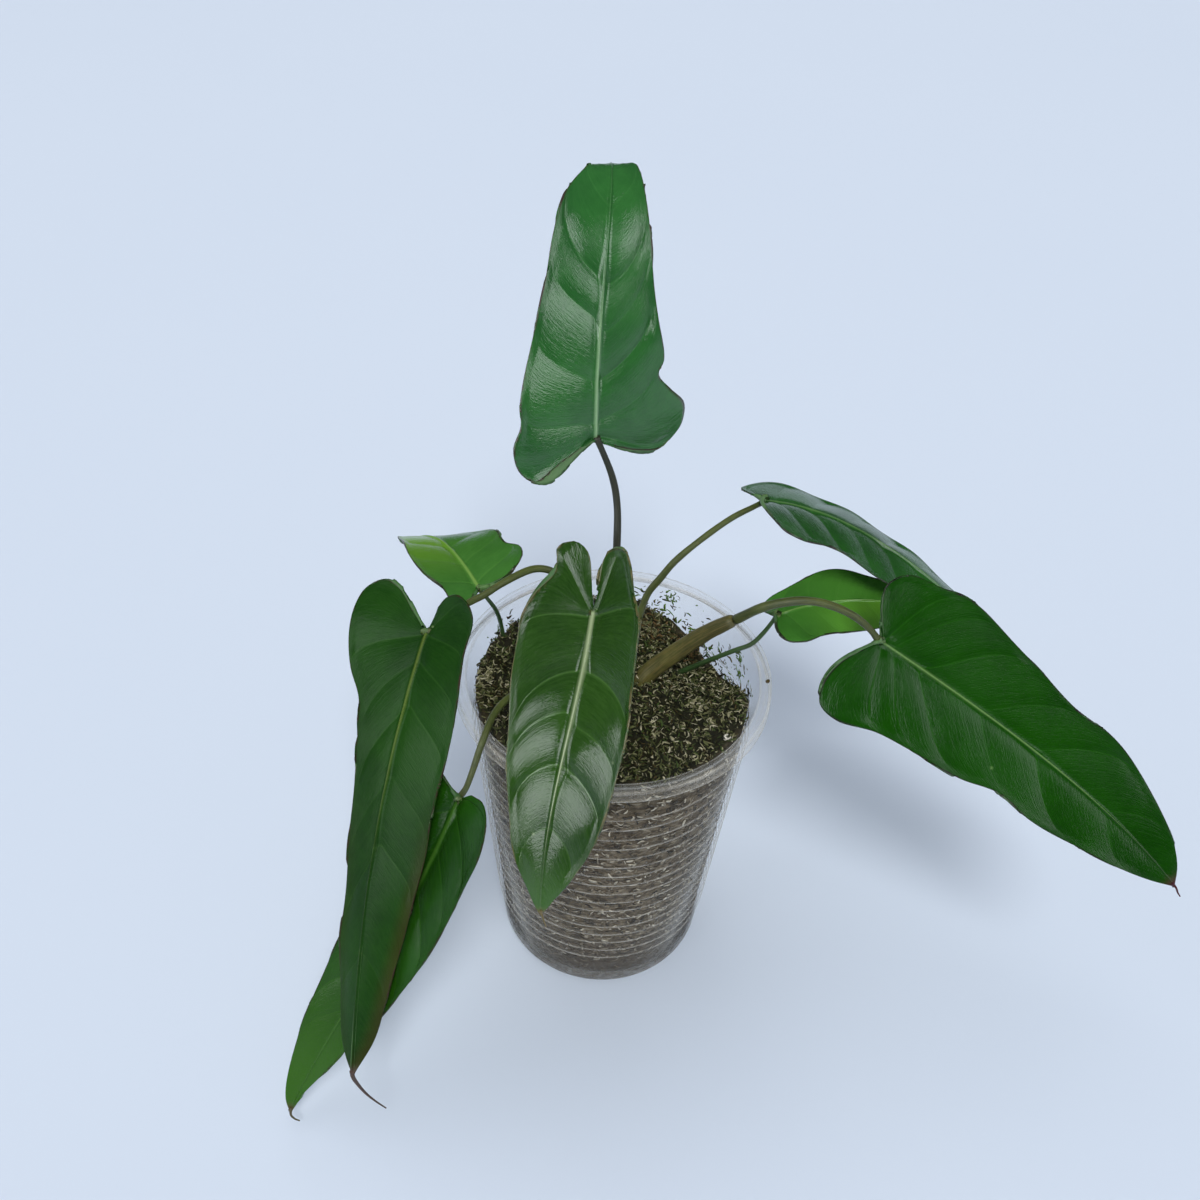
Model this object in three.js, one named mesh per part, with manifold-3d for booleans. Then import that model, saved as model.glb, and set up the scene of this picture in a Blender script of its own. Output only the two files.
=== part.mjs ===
// A potted juvenile philodendron: a clear ringed cup of moss and fibre, and eight arrow-shaped leaves.
// Millimetres, +Z up. The origin is on the cup's axis, on the surface that the cup stands on.
import * as THREE from "three";
import { mergeVertices } from "three/addons/utils/BufferGeometryUtils.js";
import Module from "manifold-3d";

const wasm = await Module();
wasm.setup();

// Driving dimensions

const CUP = {
  height: 118,
  rimRadius: 47.5,
  lipWidth: 3.8,
  lipDrop: 4,
  lipWall: 0.9,
  lipRound: 0.4,
  neckRadius: 43,
  neckHeight: 112,
  baseRadius: 34.7,
  cornerRadius: 5,
  cornerSteps: 3,
  wall: 0.9,
  floor: 1.2,
  rings: 17,
  firstRing: 20,
  ringPitch: 5,
  ringHeight: 0.6,
  ringWidth: 1.6,
  sides: 32,
};

const SUBSTRATE = {
  level: 112.5,
  frontRise: 0.04,
  hollowDepth: 14,
  hollowCentre: [34, 22],
  hollowSpread: 20,
  lumpHeight: 0.9,
  lumpLength: 13,
  circles: 9,
};

const CROWN = { at: [1, 4], radius: 4, shoulder: 1.5, top: 111.5, foot: 72, sides: 12 };

const GAP = 0.3; // clearance between pieces that touch
const HOLE_GAP = 0.4; // clearance round a stalk in its hole
const STALK_SIDES = 8;
const BLADE_THICKNESS = 0.8;
const ROWS = 25; // rows of a half blade, from the tip round to the sinus
const COLUMNS = 3; // columns of a half blade, from the midrib to the margin
const SPINE_STEP = 2; // step along a blade's spine
const DRIP = { radii: [0.75, 0.5], sides: 6, step: 2.5, root: 3 }; // the thread at a blade's tip
const VEIN_LEAN = 0.35; // how far a row leans towards the tip, per unit of half width

const COLOUR = {
  clear: { color: 0xe8eef2, roughness: 0.15, metalness: 0, transparent: true, opacity: 0.4 },
  moss: { color: 0x3a3424, roughness: 0.95, metalness: 0 },
  darkLeaf: { color: 0x1c4a20, roughness: 0.3, metalness: 0 },
  brightLeaf: { color: 0x3f8a26, roughness: 0.35, metalness: 0 },
  olive: { color: 0x5f5a34, roughness: 0.5, metalness: 0 },
  greenStalk: { color: 0x3c5a2c, roughness: 0.5, metalness: 0 },
  ochre: { color: 0x75663a, roughness: 0.6, metalness: 0 },
};

// Each leaf hangs from its attachment. Heading is the way the tip points, counted from +X towards +Y, dip is
// how far it points down there, and roll lowers its right side. Bend, in degrees per blade length at even
// steps to the tip, curls it under. Sweep turns it to the right, and twist lowers the right side on the way.
// A half has its fold up from the midrib and its curl across the reference width, each at the base and the
// tip, its lobe's lift, and its outline as [across, along] from the tip round the lobe to the sinus.
const LEAVES = [
  {
    name: "tall",
    colour: COLOUR.darkLeaf,
    attachment: [-8, 29, 180],
    heading: 103,
    dip: -77,
    roll: 4,
    length: 90,
    bend: [7, 35, 49, 145, 749],
    sweep: [22, 7],
    twist: -10,
    width: 26,
    wave: [0.5, 26],
    right: {
      fold: [-12, 5],
      curl: [-13, -8],
      lift: -18,
      outline: [
        [0, 90], [4, 85.5], [7.5, 77], [10, 67], [13, 50.5], [17, 34.5], [20.5, 22],
        [19.5, 17.5], [24.5, 12], [30.5, 6], [30.5, -3], [24, -10], [14, -7], [6, -3],
      ],
    },
    left: {
      fold: [18, -15],
      curl: [0, -5],
      lift: 12,
      outline: [
        [0, 90], [4, 86], [8, 76.5], [12, 67], [14.5, 56], [16, 43], [19, 28.5],
        [23, 13.5], [23.5, 7.5], [26.5, 2], [25, -5.5], [20.5, -9], [13, -5], [5.5, -1.5],
      ],
    },
  },
  {
    name: "front",
    colour: COLOUR.darkLeaf,
    attachment: [-7, -10.5, 150],
    heading: -95,
    dip: 32,
    roll: 7,
    length: 84,
    bend: [1, 47, 50],
    sweep: [30, -14],
    twist: 6,
    width: 22,
    wave: [0.4, 22],
    drip: [[-19.5, -67.5, 88], [-20, -68.5, 86], [-19.5, -69, 84]],
    right: {
      fold: [11, -3],
      curl: [-4, -8],
      lift: 11,
      outline: [
        [0, 84], [4, 79.5], [8, 71.5], [11, 62], [14.5, 47.5], [17, 33.5], [19, 19],
        [19, 6], [16, -3.5], [11.5, -10], [11, -17], [7, -19.5], [3, -17], [1, -9],
      ],
    },
    left: {
      fold: [36, -12],
      curl: [4, -10],
      lift: 14,
      outline: [
        [0, 84], [4, 79.5], [9, 71.5], [13, 62], [16, 47], [17.5, 32], [17.5, 14],
        [18, 4], [15, -5.5], [13, -13], [10.5, -17], [6, -17.5], [2.5, -15], [1.2, -8],
      ],
    },
  },
  {
    name: "left",
    colour: COLOUR.darkLeaf,
    attachment: [-54, -7.5, 137],
    heading: -107,
    dip: 36,
    roll: 14,
    length: 133,
    bend: [41, 28, 7],
    sweep: [3, 0],
    twist: -7,
    width: 22,
    wave: [0.5, 30],
    drip: [[-74, -87.5, 30], [-74, -87.5, 26], [-72, -87, 22], [-68.5, -87, 19], [-65, -87.5, 18]],
    right: {
      fold: [3, -21],
      curl: [8, -16],
      lift: -6,
      outline: [
        [0, 133], [3, 127], [6, 117.5], [8, 100], [8.5, 80], [9, 64], [11, 48], [13, 31],
        [15.5, 23], [21, 14.5], [24, 2], [23.5, -8], [19, -12], [13, -10.5], [6, -5],
      ],
    },
    left: {
      fold: [12, -25],
      curl: [-7, -16],
      lift: 34,
      outline: [
        [0, 133], [3, 127], [6, 120], [9.5, 103], [12.5, 85], [15.5, 64], [16, 48],
        [17.5, 32], [17.5, 18], [16, 4], [15.5, -8], [11.5, -12.5], [6.5, -11.5], [2.5, -7.5],
      ],
    },
  },
  {
    name: "low_left",
    colour: COLOUR.brightLeaf,
    attachment: [-42, -42, 106],
    heading: -122,
    dip: 52,
    roll: -2,
    length: 119,
    bend: [17, 5, 12],
    sweep: [39, -19],
    twist: -14,
    width: 22,
    wave: [0.4, 28],
    drip: [[-95, -85, 6], [-95.5, -86, 4.2], [-94.5, -87, 2.8], [-93, -88, 2.4]],
    right: {
      fold: [15, 7],
      curl: [-6, -5],
      lift: 3,
      outline: [
        [0, 119], [2.5, 115.5], [6, 105], [9, 88], [11, 73], [12.5, 55], [14, 38],
        [15.5, 22], [17, 8], [15, -3], [9.5, -6], [4, -2.5],
      ],
    },
    left: {
      fold: [29, -1],
      curl: [1, -7],
      lift: 8,
      outline: [
        [0, 119], [1.5, 111], [3.5, 102], [6, 89], [10, 71], [13, 52], [15, 34],
        [16, 18], [17.5, 7], [15.5, -1], [11, -5], [5, -4],
      ],
    },
  },
  {
    name: "small_left",
    colour: COLOUR.brightLeaf,
    attachment: [-42, 20.5, 130],
    heading: 123,
    dip: -11,
    roll: 2,
    length: 55,
    bend: [18, 94, 37],
    sweep: [9, -12],
    twist: 26,
    width: 16,
    wave: [0.3, 18],
    right: {
      fold: [32, -11],
      curl: [7, -11],
      lift: 14,
      outline: [
        [0, 55], [3, 51.5], [6.5, 46], [10, 38], [13, 29], [15.5, 20], [14.5, 11.5],
        [17.5, 3.5], [15, -2.5], [10, -4], [5, -2],
      ],
    },
    left: {
      fold: [18, -9],
      curl: [-4, -12],
      lift: 0,
      outline: [
        [0, 55], [3, 51.5], [6.5, 46], [10, 38], [13, 28], [15.5, 17], [15, 8],
        [12, 1.5], [11.5, -3.5], [7, -5], [3.5, -2.5],
      ],
    },
  },
  {
    name: "back_right",
    colour: COLOUR.darkLeaf,
    attachment: [44.5, 44.5, 151],
    heading: 5,
    dip: 6,
    roll: -11,
    length: 91,
    bend: [79, 25, 37],
    sweep: [21, 12],
    twist: 19,
    width: 18,
    wave: [0.4, 24],
    right: {
      fold: [14, -23],
      curl: [-20, -19],
      lift: 2,
      outline: [
        [0, 91], [4, 86], [8, 77], [12, 62], [16, 45], [18, 28], [19.5, 17],
        [23, 7], [22.5, 1.5], [17, -1], [11, -2], [5, -1.5],
      ],
    },
    left: {
      fold: [-5, -6],
      curl: [-4, -28],
      lift: -2,
      outline: [
        [0, 91], [4, 86.5], [8, 77], [12, 62], [15, 46], [18, 29], [20.5, 14],
        [19, 4], [15, -2], [10, -5.5], [5, -3.5],
      ],
    },
  },
  {
    name: "right",
    colour: COLOUR.darkLeaf,
    attachment: [75, -6, 140],
    heading: -26,
    dip: 20,
    roll: 26,
    length: 107,
    bend: [11, 2, 29],
    sweep: [-3, 34],
    twist: 13,
    width: 24,
    wave: [0.5, 28],
    drip: [[160.5, -51.5, 92.5], [161, -52.5, 91], [162, -53, 89.5]],
    right: {
      fold: [-8, -5],
      curl: [-15, -9],
      lift: -2,
      outline: [
        [0, 107], [4, 101.5], [8.5, 92.5], [12.5, 80], [16, 64], [15.5, 52], [19, 40],
        [20.5, 27], [22, 13.5], [26, 2], [24.5, -4.5], [18.5, -7], [11, -6], [5.5, -3],
      ],
    },
    left: {
      fold: [18, 9],
      curl: [-1, -2],
      lift: 4,
      outline: [
        [0, 107], [4, 102.5], [9, 92.5], [14, 78.5], [16.5, 66], [16.5, 54], [19, 38],
        [23.5, 17], [22, 5], [20, -4.5], [14, -8], [9, -6], [4, -2.5],
      ],
    },
  },
  {
    name: "small_right",
    colour: COLOUR.brightLeaf,
    attachment: [49.5, 19, 126.5],
    heading: 24,
    dip: -8,
    roll: -4,
    length: 52,
    bend: [31, 37, -1],
    sweep: [23, -1],
    twist: 30,
    width: 14,
    wave: [0.3, 18],
    right: {
      fold: [2, -5],
      curl: [-12, -8],
      lift: 2,
      outline: [
        [0, 52], [3, 47.5], [7, 41], [10, 33], [12, 22], [12.5, 10], [14, 2],
        [12, -2.5], [7, -3.5], [3.5, -2.5],
      ],
    },
    left: {
      fold: [-15, 11],
      curl: [-11, 21],
      lift: 0,
      outline: [
        [0, 52], [3, 47.5], [6.5, 41], [9, 34], [12.5, 25], [13.5, 19], [11.5, 8],
        [11.5, 2.5], [8, -2.5], [4, -2],
      ],
    },
  },
];

// Petioles, root first, with their radii at the root and at the blade. Each runs on to its blade and ends
// `seat` behind the attachment and below the blade's face.
const PETIOLES = [
  {
    name: "tall",
    colour: COLOUR.olive,
    radii: [1.5, 0.9],
    seat: [1.2, 0.6],
    route: [
      [0, 9.8, 104], [-0.3, 11.5, 115], [-0.8, 15, 135], [-0.8, 18.5, 150], [-1.3, 24, 161],
      [-3, 27, 168.5],
    ],
  },
  {
    name: "front",
    colour: COLOUR.olive,
    radii: [1.4, 0.9],
    seat: [0, 1],
    route: [[-4.5, 2, 104], [-5, 0, 115], [-6, -3.5, 130], [-7, -7.5, 142]],
  },
  {
    name: "left",
    colour: COLOUR.olive,
    radii: [1.4, 0.9],
    seat: [0, 1.6],
    route: [
      [-4.1, 7, 104], [-6, 9, 118], [-12, 12, 135], [-18, 12.8, 143.5], [-24, 10.5, 147],
      [-33, 4, 146.5], [-38, 0.8, 144.5], [-42.5, -0.8, 142.5], [-48, -3.5, 139.5],
    ],
  },
  {
    name: "low_left",
    colour: COLOUR.olive,
    radii: [1.3, 0.85],
    seat: [0.9, 1.5],
    route: [
      [-1.5, -1.3, 104], [-4, -4, 114], [-12, -9, 121], [-21, -14, 124], [-29, -19.5, 124.5],
      [-33, -26, 124], [-35.5, -33.5, 121], [-38, -38.5, 114], [-39.8, -40.5, 109],
    ],
  },
  {
    name: "small_left",
    colour: COLOUR.greenStalk,
    radii: [0.8, 0.6],
    seat: [0.3, 1.2],
    route: [
      [-33.5, 18, 98], [-34.8, 19.2, 109], [-35.7, 19.5, 117], [-37, 18.7, 123],
      [-39.5, 19, 127.2],
    ],
  },
  {
    name: "back_right",
    colour: COLOUR.olive,
    radii: [1.2, 0.85],
    sheath: "small",
    seat: [0.2, 1.55],
    route: [
      [7.2, 21, 120.5], [9.8, 25.2, 127], [13.2, 26.6, 132], [17.5, 28.2, 138], [28, 33.2, 146],
      [35, 37.6, 149], [40, 40.5, 150.2],
    ],
  },
  {
    name: "right",
    colour: COLOUR.olive,
    radii: [1.5, 0.95],
    sheath: "large",
    seat: [1.3, 0.7],
    route: [
      [34.9, 4.4, 136.4], [42, 1, 144.8], [50.5, -1.3, 149.5], [57, -2.6, 150.3],
      [65, -4.5, 148.3], [71, -5.2, 143.8],
    ],
  },
  {
    name: "small_right",
    colour: COLOUR.greenStalk,
    radii: [0.9, 0.65],
    seat: [0.3, 1.35],
    route: [
      [16, 17.5, 97], [23, 15.5, 104], [30, 13.3, 111], [37, 11.8, 117], [42, 12.4, 119.5],
      [45.2, 14.6, 121.8], [47.8, 17.2, 124],
    ],
  },
];

// Leaf sheaths, root first, with their radii at the root and at the mouth, where the petiole comes out.
const SHEATHS = [
  {
    name: "large",
    radii: [3.1, 2.1],
    sides: 10,
    route: [[8.7, 4.6, 104], [12, 5.6, 111.5], [19.4, 7.2, 119.5], [27, 7, 128], [34.4, 4.7, 135.9]],
  },
  {
    name: "small",
    radii: [1.9, 1.6],
    sides: 8,
    route: [[4.6, 9.2, 104], [5, 12.5, 111], [5.8, 17, 116.5], [6.9, 20.6, 120.1]],
  },
];

// Solids

const WELD_REACH = 1e-3;
const degrees = THREE.MathUtils.degToRad;
const lerp = THREE.MathUtils.lerp;

/** The geometry with its doubles merged and its empty triangles dropped. */
function welded(geometry) {
  const bare = geometry.index ? geometry.toNonIndexed() : geometry.clone();
  for (const name of Object.keys(bare.attributes)) {
    if (name !== "position") bare.deleteAttribute(name);
  }
  const merged = mergeVertices(bare, WELD_REACH);
  const kept = [];
  const index = merged.index.array;
  for (let i = 0; i < index.length; i += 3) {
    const [a, b, c] = [index[i], index[i + 1], index[i + 2]];
    if (a !== b && b !== c && c !== a) kept.push(a, b, c);
  }
  merged.setIndex(kept);
  return merged;
}

function toManifold(geometry) {
  const merged = welded(geometry);
  return new wasm.Manifold(
    new wasm.Mesh({
      numProp: 3,
      vertProperties: new Float32Array(merged.attributes.position.array),
      triVerts: new Uint32Array(merged.index.array),
    }),
  );
}

function toGeometry(manifold) {
  const made = manifold.getMesh();
  const position = new THREE.BufferAttribute(new Float32Array(made.vertProperties), 3);
  return new THREE.BufferGeometry()
    .setAttribute("position", position)
    .setIndex(new THREE.BufferAttribute(new Uint32Array(made.triVerts), 1));
}

function named(name, geometry, colour) {
  const body = geometry.index ? geometry : welded(geometry);
  body.computeVertexNormals();
  const mesh = new THREE.Mesh(body, new THREE.MeshStandardMaterial(colour));
  mesh.name = name;
  return mesh;
}

/** A profile of [radius, height] points turned about +Z. */
function turned(profile, sides) {
  const points = profile.map(([radius, height]) => new THREE.Vector2(radius, height));
  return welded(new THREE.LatheGeometry(points, sides).rotateX(Math.PI / 2));
}

const route3 = (points) => points.map((point) => new THREE.Vector3(...point));

/** A tapered rod along a smooth curve through the points. */
function rod(points, [rootRadius, endRadius], sides = STALK_SIDES, stepLength = 5) {
  const curve = new THREE.CatmullRomCurve3(points, false, "centripetal");
  const steps = Math.max(3, Math.round(curve.getLength() / stepLength));
  const section = new THREE.Shape();
  for (let i = 0; i < sides; i++) {
    const turn = (2 * Math.PI * i) / sides;
    section[i ? "lineTo" : "moveTo"](Math.cos(turn), Math.sin(turn));
  }
  section.closePath();
  const body = new THREE.ExtrudeGeometry(section, { steps, extrudePath: curve, bevelEnabled: false });
  const centres = curve.getSpacedPoints(steps);
  const position = body.attributes.position;
  const point = new THREE.Vector3();
  for (let i = 0; i < position.count; i++) {
    point.fromBufferAttribute(position, i);
    // The section has radius 1, so the nearest centre is the one that the vertex was drawn round.
    let best = 0;
    centres.forEach((centre, j) => {
      if (centre.distanceTo(point) < centres[best].distanceTo(point)) best = j;
    });
    const radius = lerp(rootRadius, endRadius, best / steps);
    point.sub(centres[best]).multiplyScalar(radius).add(centres[best]);
    position.setXYZ(i, point.x, point.y, point.z);
  }
  return body;
}

// The cup

/** The wall's outer radius at a height, without its rings. */
function outerRadius(height) {
  const share = (height - CUP.cornerRadius) / (CUP.neckHeight - CUP.cornerRadius);
  return lerp(CUP.baseRadius, CUP.neckRadius, share);
}

const innerRadius = (height) => outerRadius(height) - CUP.wall;

function cupGeometry() {
  const { height, rimRadius, lipWidth, lipDrop, lipWall, lipRound, cornerRadius, wall, floor } = CUP;
  const profile = [[0, 0]];
  const cornerCentre = CUP.baseRadius - cornerRadius;
  for (let i = 0; i <= CUP.cornerSteps; i++) {
    const turn = degrees((i * 90) / CUP.cornerSteps);
    profile.push([cornerCentre + cornerRadius * Math.sin(turn), cornerRadius * (1 - Math.cos(turn))]);
  }
  for (let i = 0; i < CUP.rings; i++) {
    const z = CUP.firstRing + i * CUP.ringPitch;
    profile.push([outerRadius(z - CUP.ringWidth / 2), z - CUP.ringWidth / 2]);
    profile.push([outerRadius(z) + CUP.ringHeight, z]);
    profile.push([outerRadius(z + CUP.ringWidth / 2), z + CUP.ringWidth / 2]);
  }
  const lipUnder = height - lipWall;
  const lipInner = rimRadius - lipWidth;
  profile.push([outerRadius(CUP.neckHeight), CUP.neckHeight]);
  profile.push([lipInner + lipRound, lipUnder]);
  profile.push([rimRadius - lipWall, lipUnder]);
  profile.push([rimRadius - lipWall, height - lipDrop]);
  profile.push([rimRadius, height - lipDrop]);
  profile.push([rimRadius, height - lipRound]);
  profile.push([rimRadius - lipRound, height]);
  profile.push([lipInner, height]);
  profile.push([innerRadius(CUP.neckHeight), CUP.neckHeight]);
  profile.push([innerRadius(cornerRadius + wall), cornerRadius + wall]);
  profile.push([cornerCentre, floor]);
  profile.push([0, floor]);
  return turned(profile, CUP.sides);
}

// The substrate

function substrateTop(x, y) {
  const { level, frontRise, hollowDepth, hollowCentre, hollowSpread, lumpHeight, lumpLength } = SUBSTRATE;
  const away = Math.hypot(x - hollowCentre[0], y - hollowCentre[1]) / hollowSpread;
  const turn = (2 * Math.PI) / lumpLength;
  const lumps = Math.sin(x * turn + 1) * Math.cos(y * turn * 0.8) + 0.6 * Math.sin((x + y) * turn * 1.4);
  return level - frontRise * y - hollowDepth * Math.exp(-away * away) + lumpHeight * lumps;
}

function substrateGeometry() {
  const foot = CUP.floor + GAP;
  const cornerTop = CUP.cornerRadius + CUP.wall;
  const profile = [[0, foot], [CUP.baseRadius - CUP.cornerRadius - GAP, foot]];
  profile.push([innerRadius(cornerTop) - GAP, cornerTop]);
  for (let i = SUBSTRATE.circles; i >= 0; i--) profile.push([i / SUBSTRATE.circles, SUBSTRATE.level]);
  const body = turned(profile, CUP.sides);
  const position = body.attributes.position;
  for (let i = 0; i < position.count; i++) {
    if (position.getZ(i) < SUBSTRATE.level) continue;
    const across = position.getX(i);
    const along = position.getY(i);
    const edge = innerRadius(SUBSTRATE.level);
    const height = substrateTop(across * edge, along * edge);
    const reach = innerRadius(height) - GAP;
    position.setXYZ(i, across * reach, along * reach, height);
  }
  return body;
}

// The leaves

/** The blade's own axes at its attachment: along it, to its right, and up from its face. */
function bladeAxes(leaf) {
  const [heading, dip, roll] = [leaf.heading, leaf.dip, leaf.roll].map(degrees);
  const along = new THREE.Vector3(
    Math.cos(dip) * Math.cos(heading),
    Math.cos(dip) * Math.sin(heading),
    -Math.sin(dip),
  );
  const across = new THREE.Vector3(Math.sin(heading), -Math.cos(heading), 0).applyAxisAngle(along, roll);
  const up = new THREE.Vector3().crossVectors(across, along);
  return { along, across, up };
}

/** The blade's spine as places with axes, from behind the half's lobe to the tip. */
function bladeSpine(leaf, half) {
  const start = { at: new THREE.Vector3(...leaf.attachment), y: 0, ...bladeAxes(leaf) };
  const copy = (place) => ({
    y: place.y,
    at: place.at.clone(),
    along: place.along.clone(),
    across: place.across.clone(),
    up: place.up.clone(),
  });
  const behind = [];
  const reach = -Math.min(...half.outline.map(([, y]) => y));
  let place = copy(start);
  for (let y = 0; y < reach + SPINE_STEP; y += SPINE_STEP) {
    const before = place.along.clone();
    const turn = (degrees(-half.lift) / reach) * SPINE_STEP;
    place.along.applyAxisAngle(place.across, turn);
    place.up.applyAxisAngle(place.across, turn);
    place.at.addScaledVector(before.add(place.along), -SPINE_STEP / 2);
    place.y -= SPINE_STEP;
    behind.unshift(copy(place));
  }
  const spine = [...behind, copy(start)];
  place = copy(start);
  const bends = leaf.bend.length - 1;
  while (place.y < leaf.length) {
    const t = Math.min((place.y + SPINE_STEP / 2) / leaf.length, 1);
    const span = Math.min(Math.floor(t * bends), bends - 1);
    const bend = lerp(leaf.bend[span], leaf.bend[span + 1], t * bends - span);
    const share = SPINE_STEP / leaf.length;
    const before = place.along.clone();
    const under = degrees(-bend) * share;
    const aside = degrees(-lerp(leaf.sweep[0], leaf.sweep[1], t)) * share;
    place.along.applyAxisAngle(place.across, under);
    place.up.applyAxisAngle(place.across, under);
    place.along.applyAxisAngle(place.up, aside);
    place.across.applyAxisAngle(place.up, aside);
    const twist = degrees(leaf.twist) * share;
    place.across.applyAxisAngle(place.along, twist);
    place.up.applyAxisAngle(place.along, twist);
    place.at.addScaledVector(before.add(place.along), SPINE_STEP / 2);
    place.y += SPINE_STEP;
    spine.push(copy(place));
  }
  return spine;
}

/** The place on a half blade, `across` from its midrib, `along` it and `share` of the way to the edge. */
function bladePoint(leaf, half, spine, side, across, along, share) {
  const last = spine.length - 1;
  const step = Math.min(Math.max((along - spine[0].y) / SPINE_STEP, 0), last - 1e-6);
  const [low, high] = [spine[Math.floor(step)], spine[Math.floor(step) + 1]];
  const t = step - Math.floor(step);
  const toTip = THREE.MathUtils.clamp(along / leaf.length, 0, 1);
  const fold = degrees(lerp(half.fold[0], half.fold[1], toTip));
  const curl = degrees(lerp(half.curl[0], half.curl[1], toTip)) || 1e-4;
  const turn = fold + (curl * across) / leaf.width;
  const out = ((Math.sin(turn) - Math.sin(fold)) * leaf.width) / curl;
  const wave = leaf.wave[0] * share * share * Math.sin((2 * Math.PI * along) / leaf.wave[1] + side);
  const up = ((Math.cos(fold) - Math.cos(turn)) * leaf.width) / curl + wave;
  return low.at.clone().lerp(high.at, t)
    .addScaledVector(low.across.clone().lerp(high.across, t).normalize(), side * out)
    .addScaledVector(low.up.clone().lerp(high.up, t).normalize(), up);
}

/** The open middle surface of a blade, welded along its midrib. */
function bladeSurface(leaf) {
  const halves = [[leaf.right, 1], [leaf.left, -1]].map(([half, side]) => {
    const knots = half.outline.map(([across, along]) => new THREE.Vector3(across, along, 0));
    const edge = new THREE.CatmullRomCurve3(knots, false, "centripetal").getSpacedPoints(ROWS);
    return { half, side, edge, spine: bladeSpine(leaf, half) };
  });
  // Each row starts at one point of the midrib on both sides, and the last rows fan out of the attachment.
  const ribs = halves[0].edge.map((_, i) => {
    const starts = halves.map(({ edge }) => edge[i].y - VEIN_LEAN * edge[i].x);
    return THREE.MathUtils.clamp((starts[0] + starts[1]) / 2, 0, leaf.length);
  });
  const triangles = [];
  for (const { half, side, edge, spine } of halves) {
    const rows = edge.map(({ x, y }, i) => {
      const row = [];
      for (let j = 0; j <= COLUMNS; j++) {
        const share = j / COLUMNS;
        row.push(bladePoint(leaf, half, spine, side, x * share, lerp(ribs[i], y, share), share));
      }
      return row;
    });
    for (let i = 0; i < ROWS; i++) {
      for (let j = 0; j < COLUMNS; j++) {
        const [a, b, c, d] = [rows[i][j], rows[i][j + 1], rows[i + 1][j + 1], rows[i + 1][j]];
        const faces = [[a, c, b], [a, d, c]];
        for (const [p, q, r] of faces) triangles.push(...(side > 0 ? [p, r, q] : [p, q, r]));
      }
    }
  }
  return welded(new THREE.BufferGeometry().setFromPoints(triangles));
}

/** A closed skin of even thickness on an open surface, split alike on both faces. */
function thickened(surface, thickness) {
  surface.computeVertexNormals();
  const { position, normal } = surface.attributes;
  const index = surface.index.array;
  const count = position.count;
  const skin = [];
  for (const side of [1, -1]) {
    for (let i = 0; i < count; i++) {
      const middle = new THREE.Vector3().fromBufferAttribute(position, i);
      const outward = new THREE.Vector3().fromBufferAttribute(normal, i);
      skin.push(middle.addScaledVector(outward, (side * thickness) / 2));
    }
  }
  const faces = [];
  const edges = new Map();
  for (let i = 0; i < index.length; i += 3) {
    const [a, b, c] = [index[i], index[i + 1], index[i + 2]];
    faces.push(a, b, c, count + c, count + b, count + a);
    for (const [p, q] of [[a, b], [b, c], [c, a]]) {
      if (!edges.delete(q + "," + p)) edges.set(p + "," + q, [p, q]);
    }
  }
  for (const [p, q] of edges.values()) faces.push(q, p, count + p, q, count + p, count + q);
  return new THREE.BufferGeometry().setFromPoints(skin).setIndex(faces);
}

function bladeGeometry(leaf) {
  const blade = toManifold(thickened(bladeSurface(leaf), BLADE_THICKNESS));
  if (!leaf.drip) return toGeometry(blade);
  const spine = bladeSpine(leaf, leaf.right);
  const inside = bladePoint(leaf, leaf.right, spine, 1, 0, leaf.length - DRIP.root, 0);
  const tip = toManifold(rod([inside, ...route3(leaf.drip)], DRIP.radii, DRIP.sides, DRIP.step));
  // A join this fine can leave a scrap of no volume beside the blade, so only the blade is kept.
  const bodies = blade.add(tip).decompose();
  return toGeometry(bodies.reduce((most, body) => (body.volume() > most.volume() ? body : most)));
}

/** A petiole's points, root first, up to just under its blade. */
function petiolePoints(petiole) {
  const leaf = LEAVES.find(({ name }) => name === petiole.name);
  const { along, up } = bladeAxes(leaf);
  const [behind, below] = petiole.seat;
  const end = new THREE.Vector3(...leaf.attachment);
  end.addScaledVector(along, -behind).addScaledVector(up, -below);
  return [...route3(petiole.route), end];
}

/** The same rod, fatter and longer at its root by the clearance, to cut its hole. */
function holeFor(points, radii, sides = STALK_SIDES) {
  const back = points[0].clone().sub(points[1]).normalize();
  const longer = [points[0].clone().addScaledVector(back, GAP), ...points.slice(1)];
  return toManifold(rod(longer, radii.map((radius) => radius + HOLE_GAP), sides));
}

// The assembly

const plant = new THREE.Group();
plant.add(named("cup", cupGeometry(), COLOUR.clear));

const crownProfile = [
  [0, CROWN.foot],
  [CROWN.radius - CROWN.shoulder, CROWN.foot],
  [CROWN.radius, CROWN.foot + CROWN.shoulder],
  [CROWN.radius, CROWN.top - CROWN.shoulder],
  [CROWN.radius - CROWN.shoulder, CROWN.top],
  [0, CROWN.top],
];
// The crown's hole goes on up past the top of the substrate.
const crownHoleProfile = [
  [0, CROWN.foot - GAP],
  [CROWN.radius + GAP, CROWN.foot - GAP],
  [CROWN.radius + GAP, CUP.height],
  [0, CUP.height],
];
const crown = turned(crownProfile, CROWN.sides).translate(...CROWN.at, 0);
const crownHole = turned(crownHoleProfile, CROWN.sides).translate(...CROWN.at, 0);
let substrate = toManifold(substrateGeometry()).subtract(toManifold(crownHole));

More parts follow.
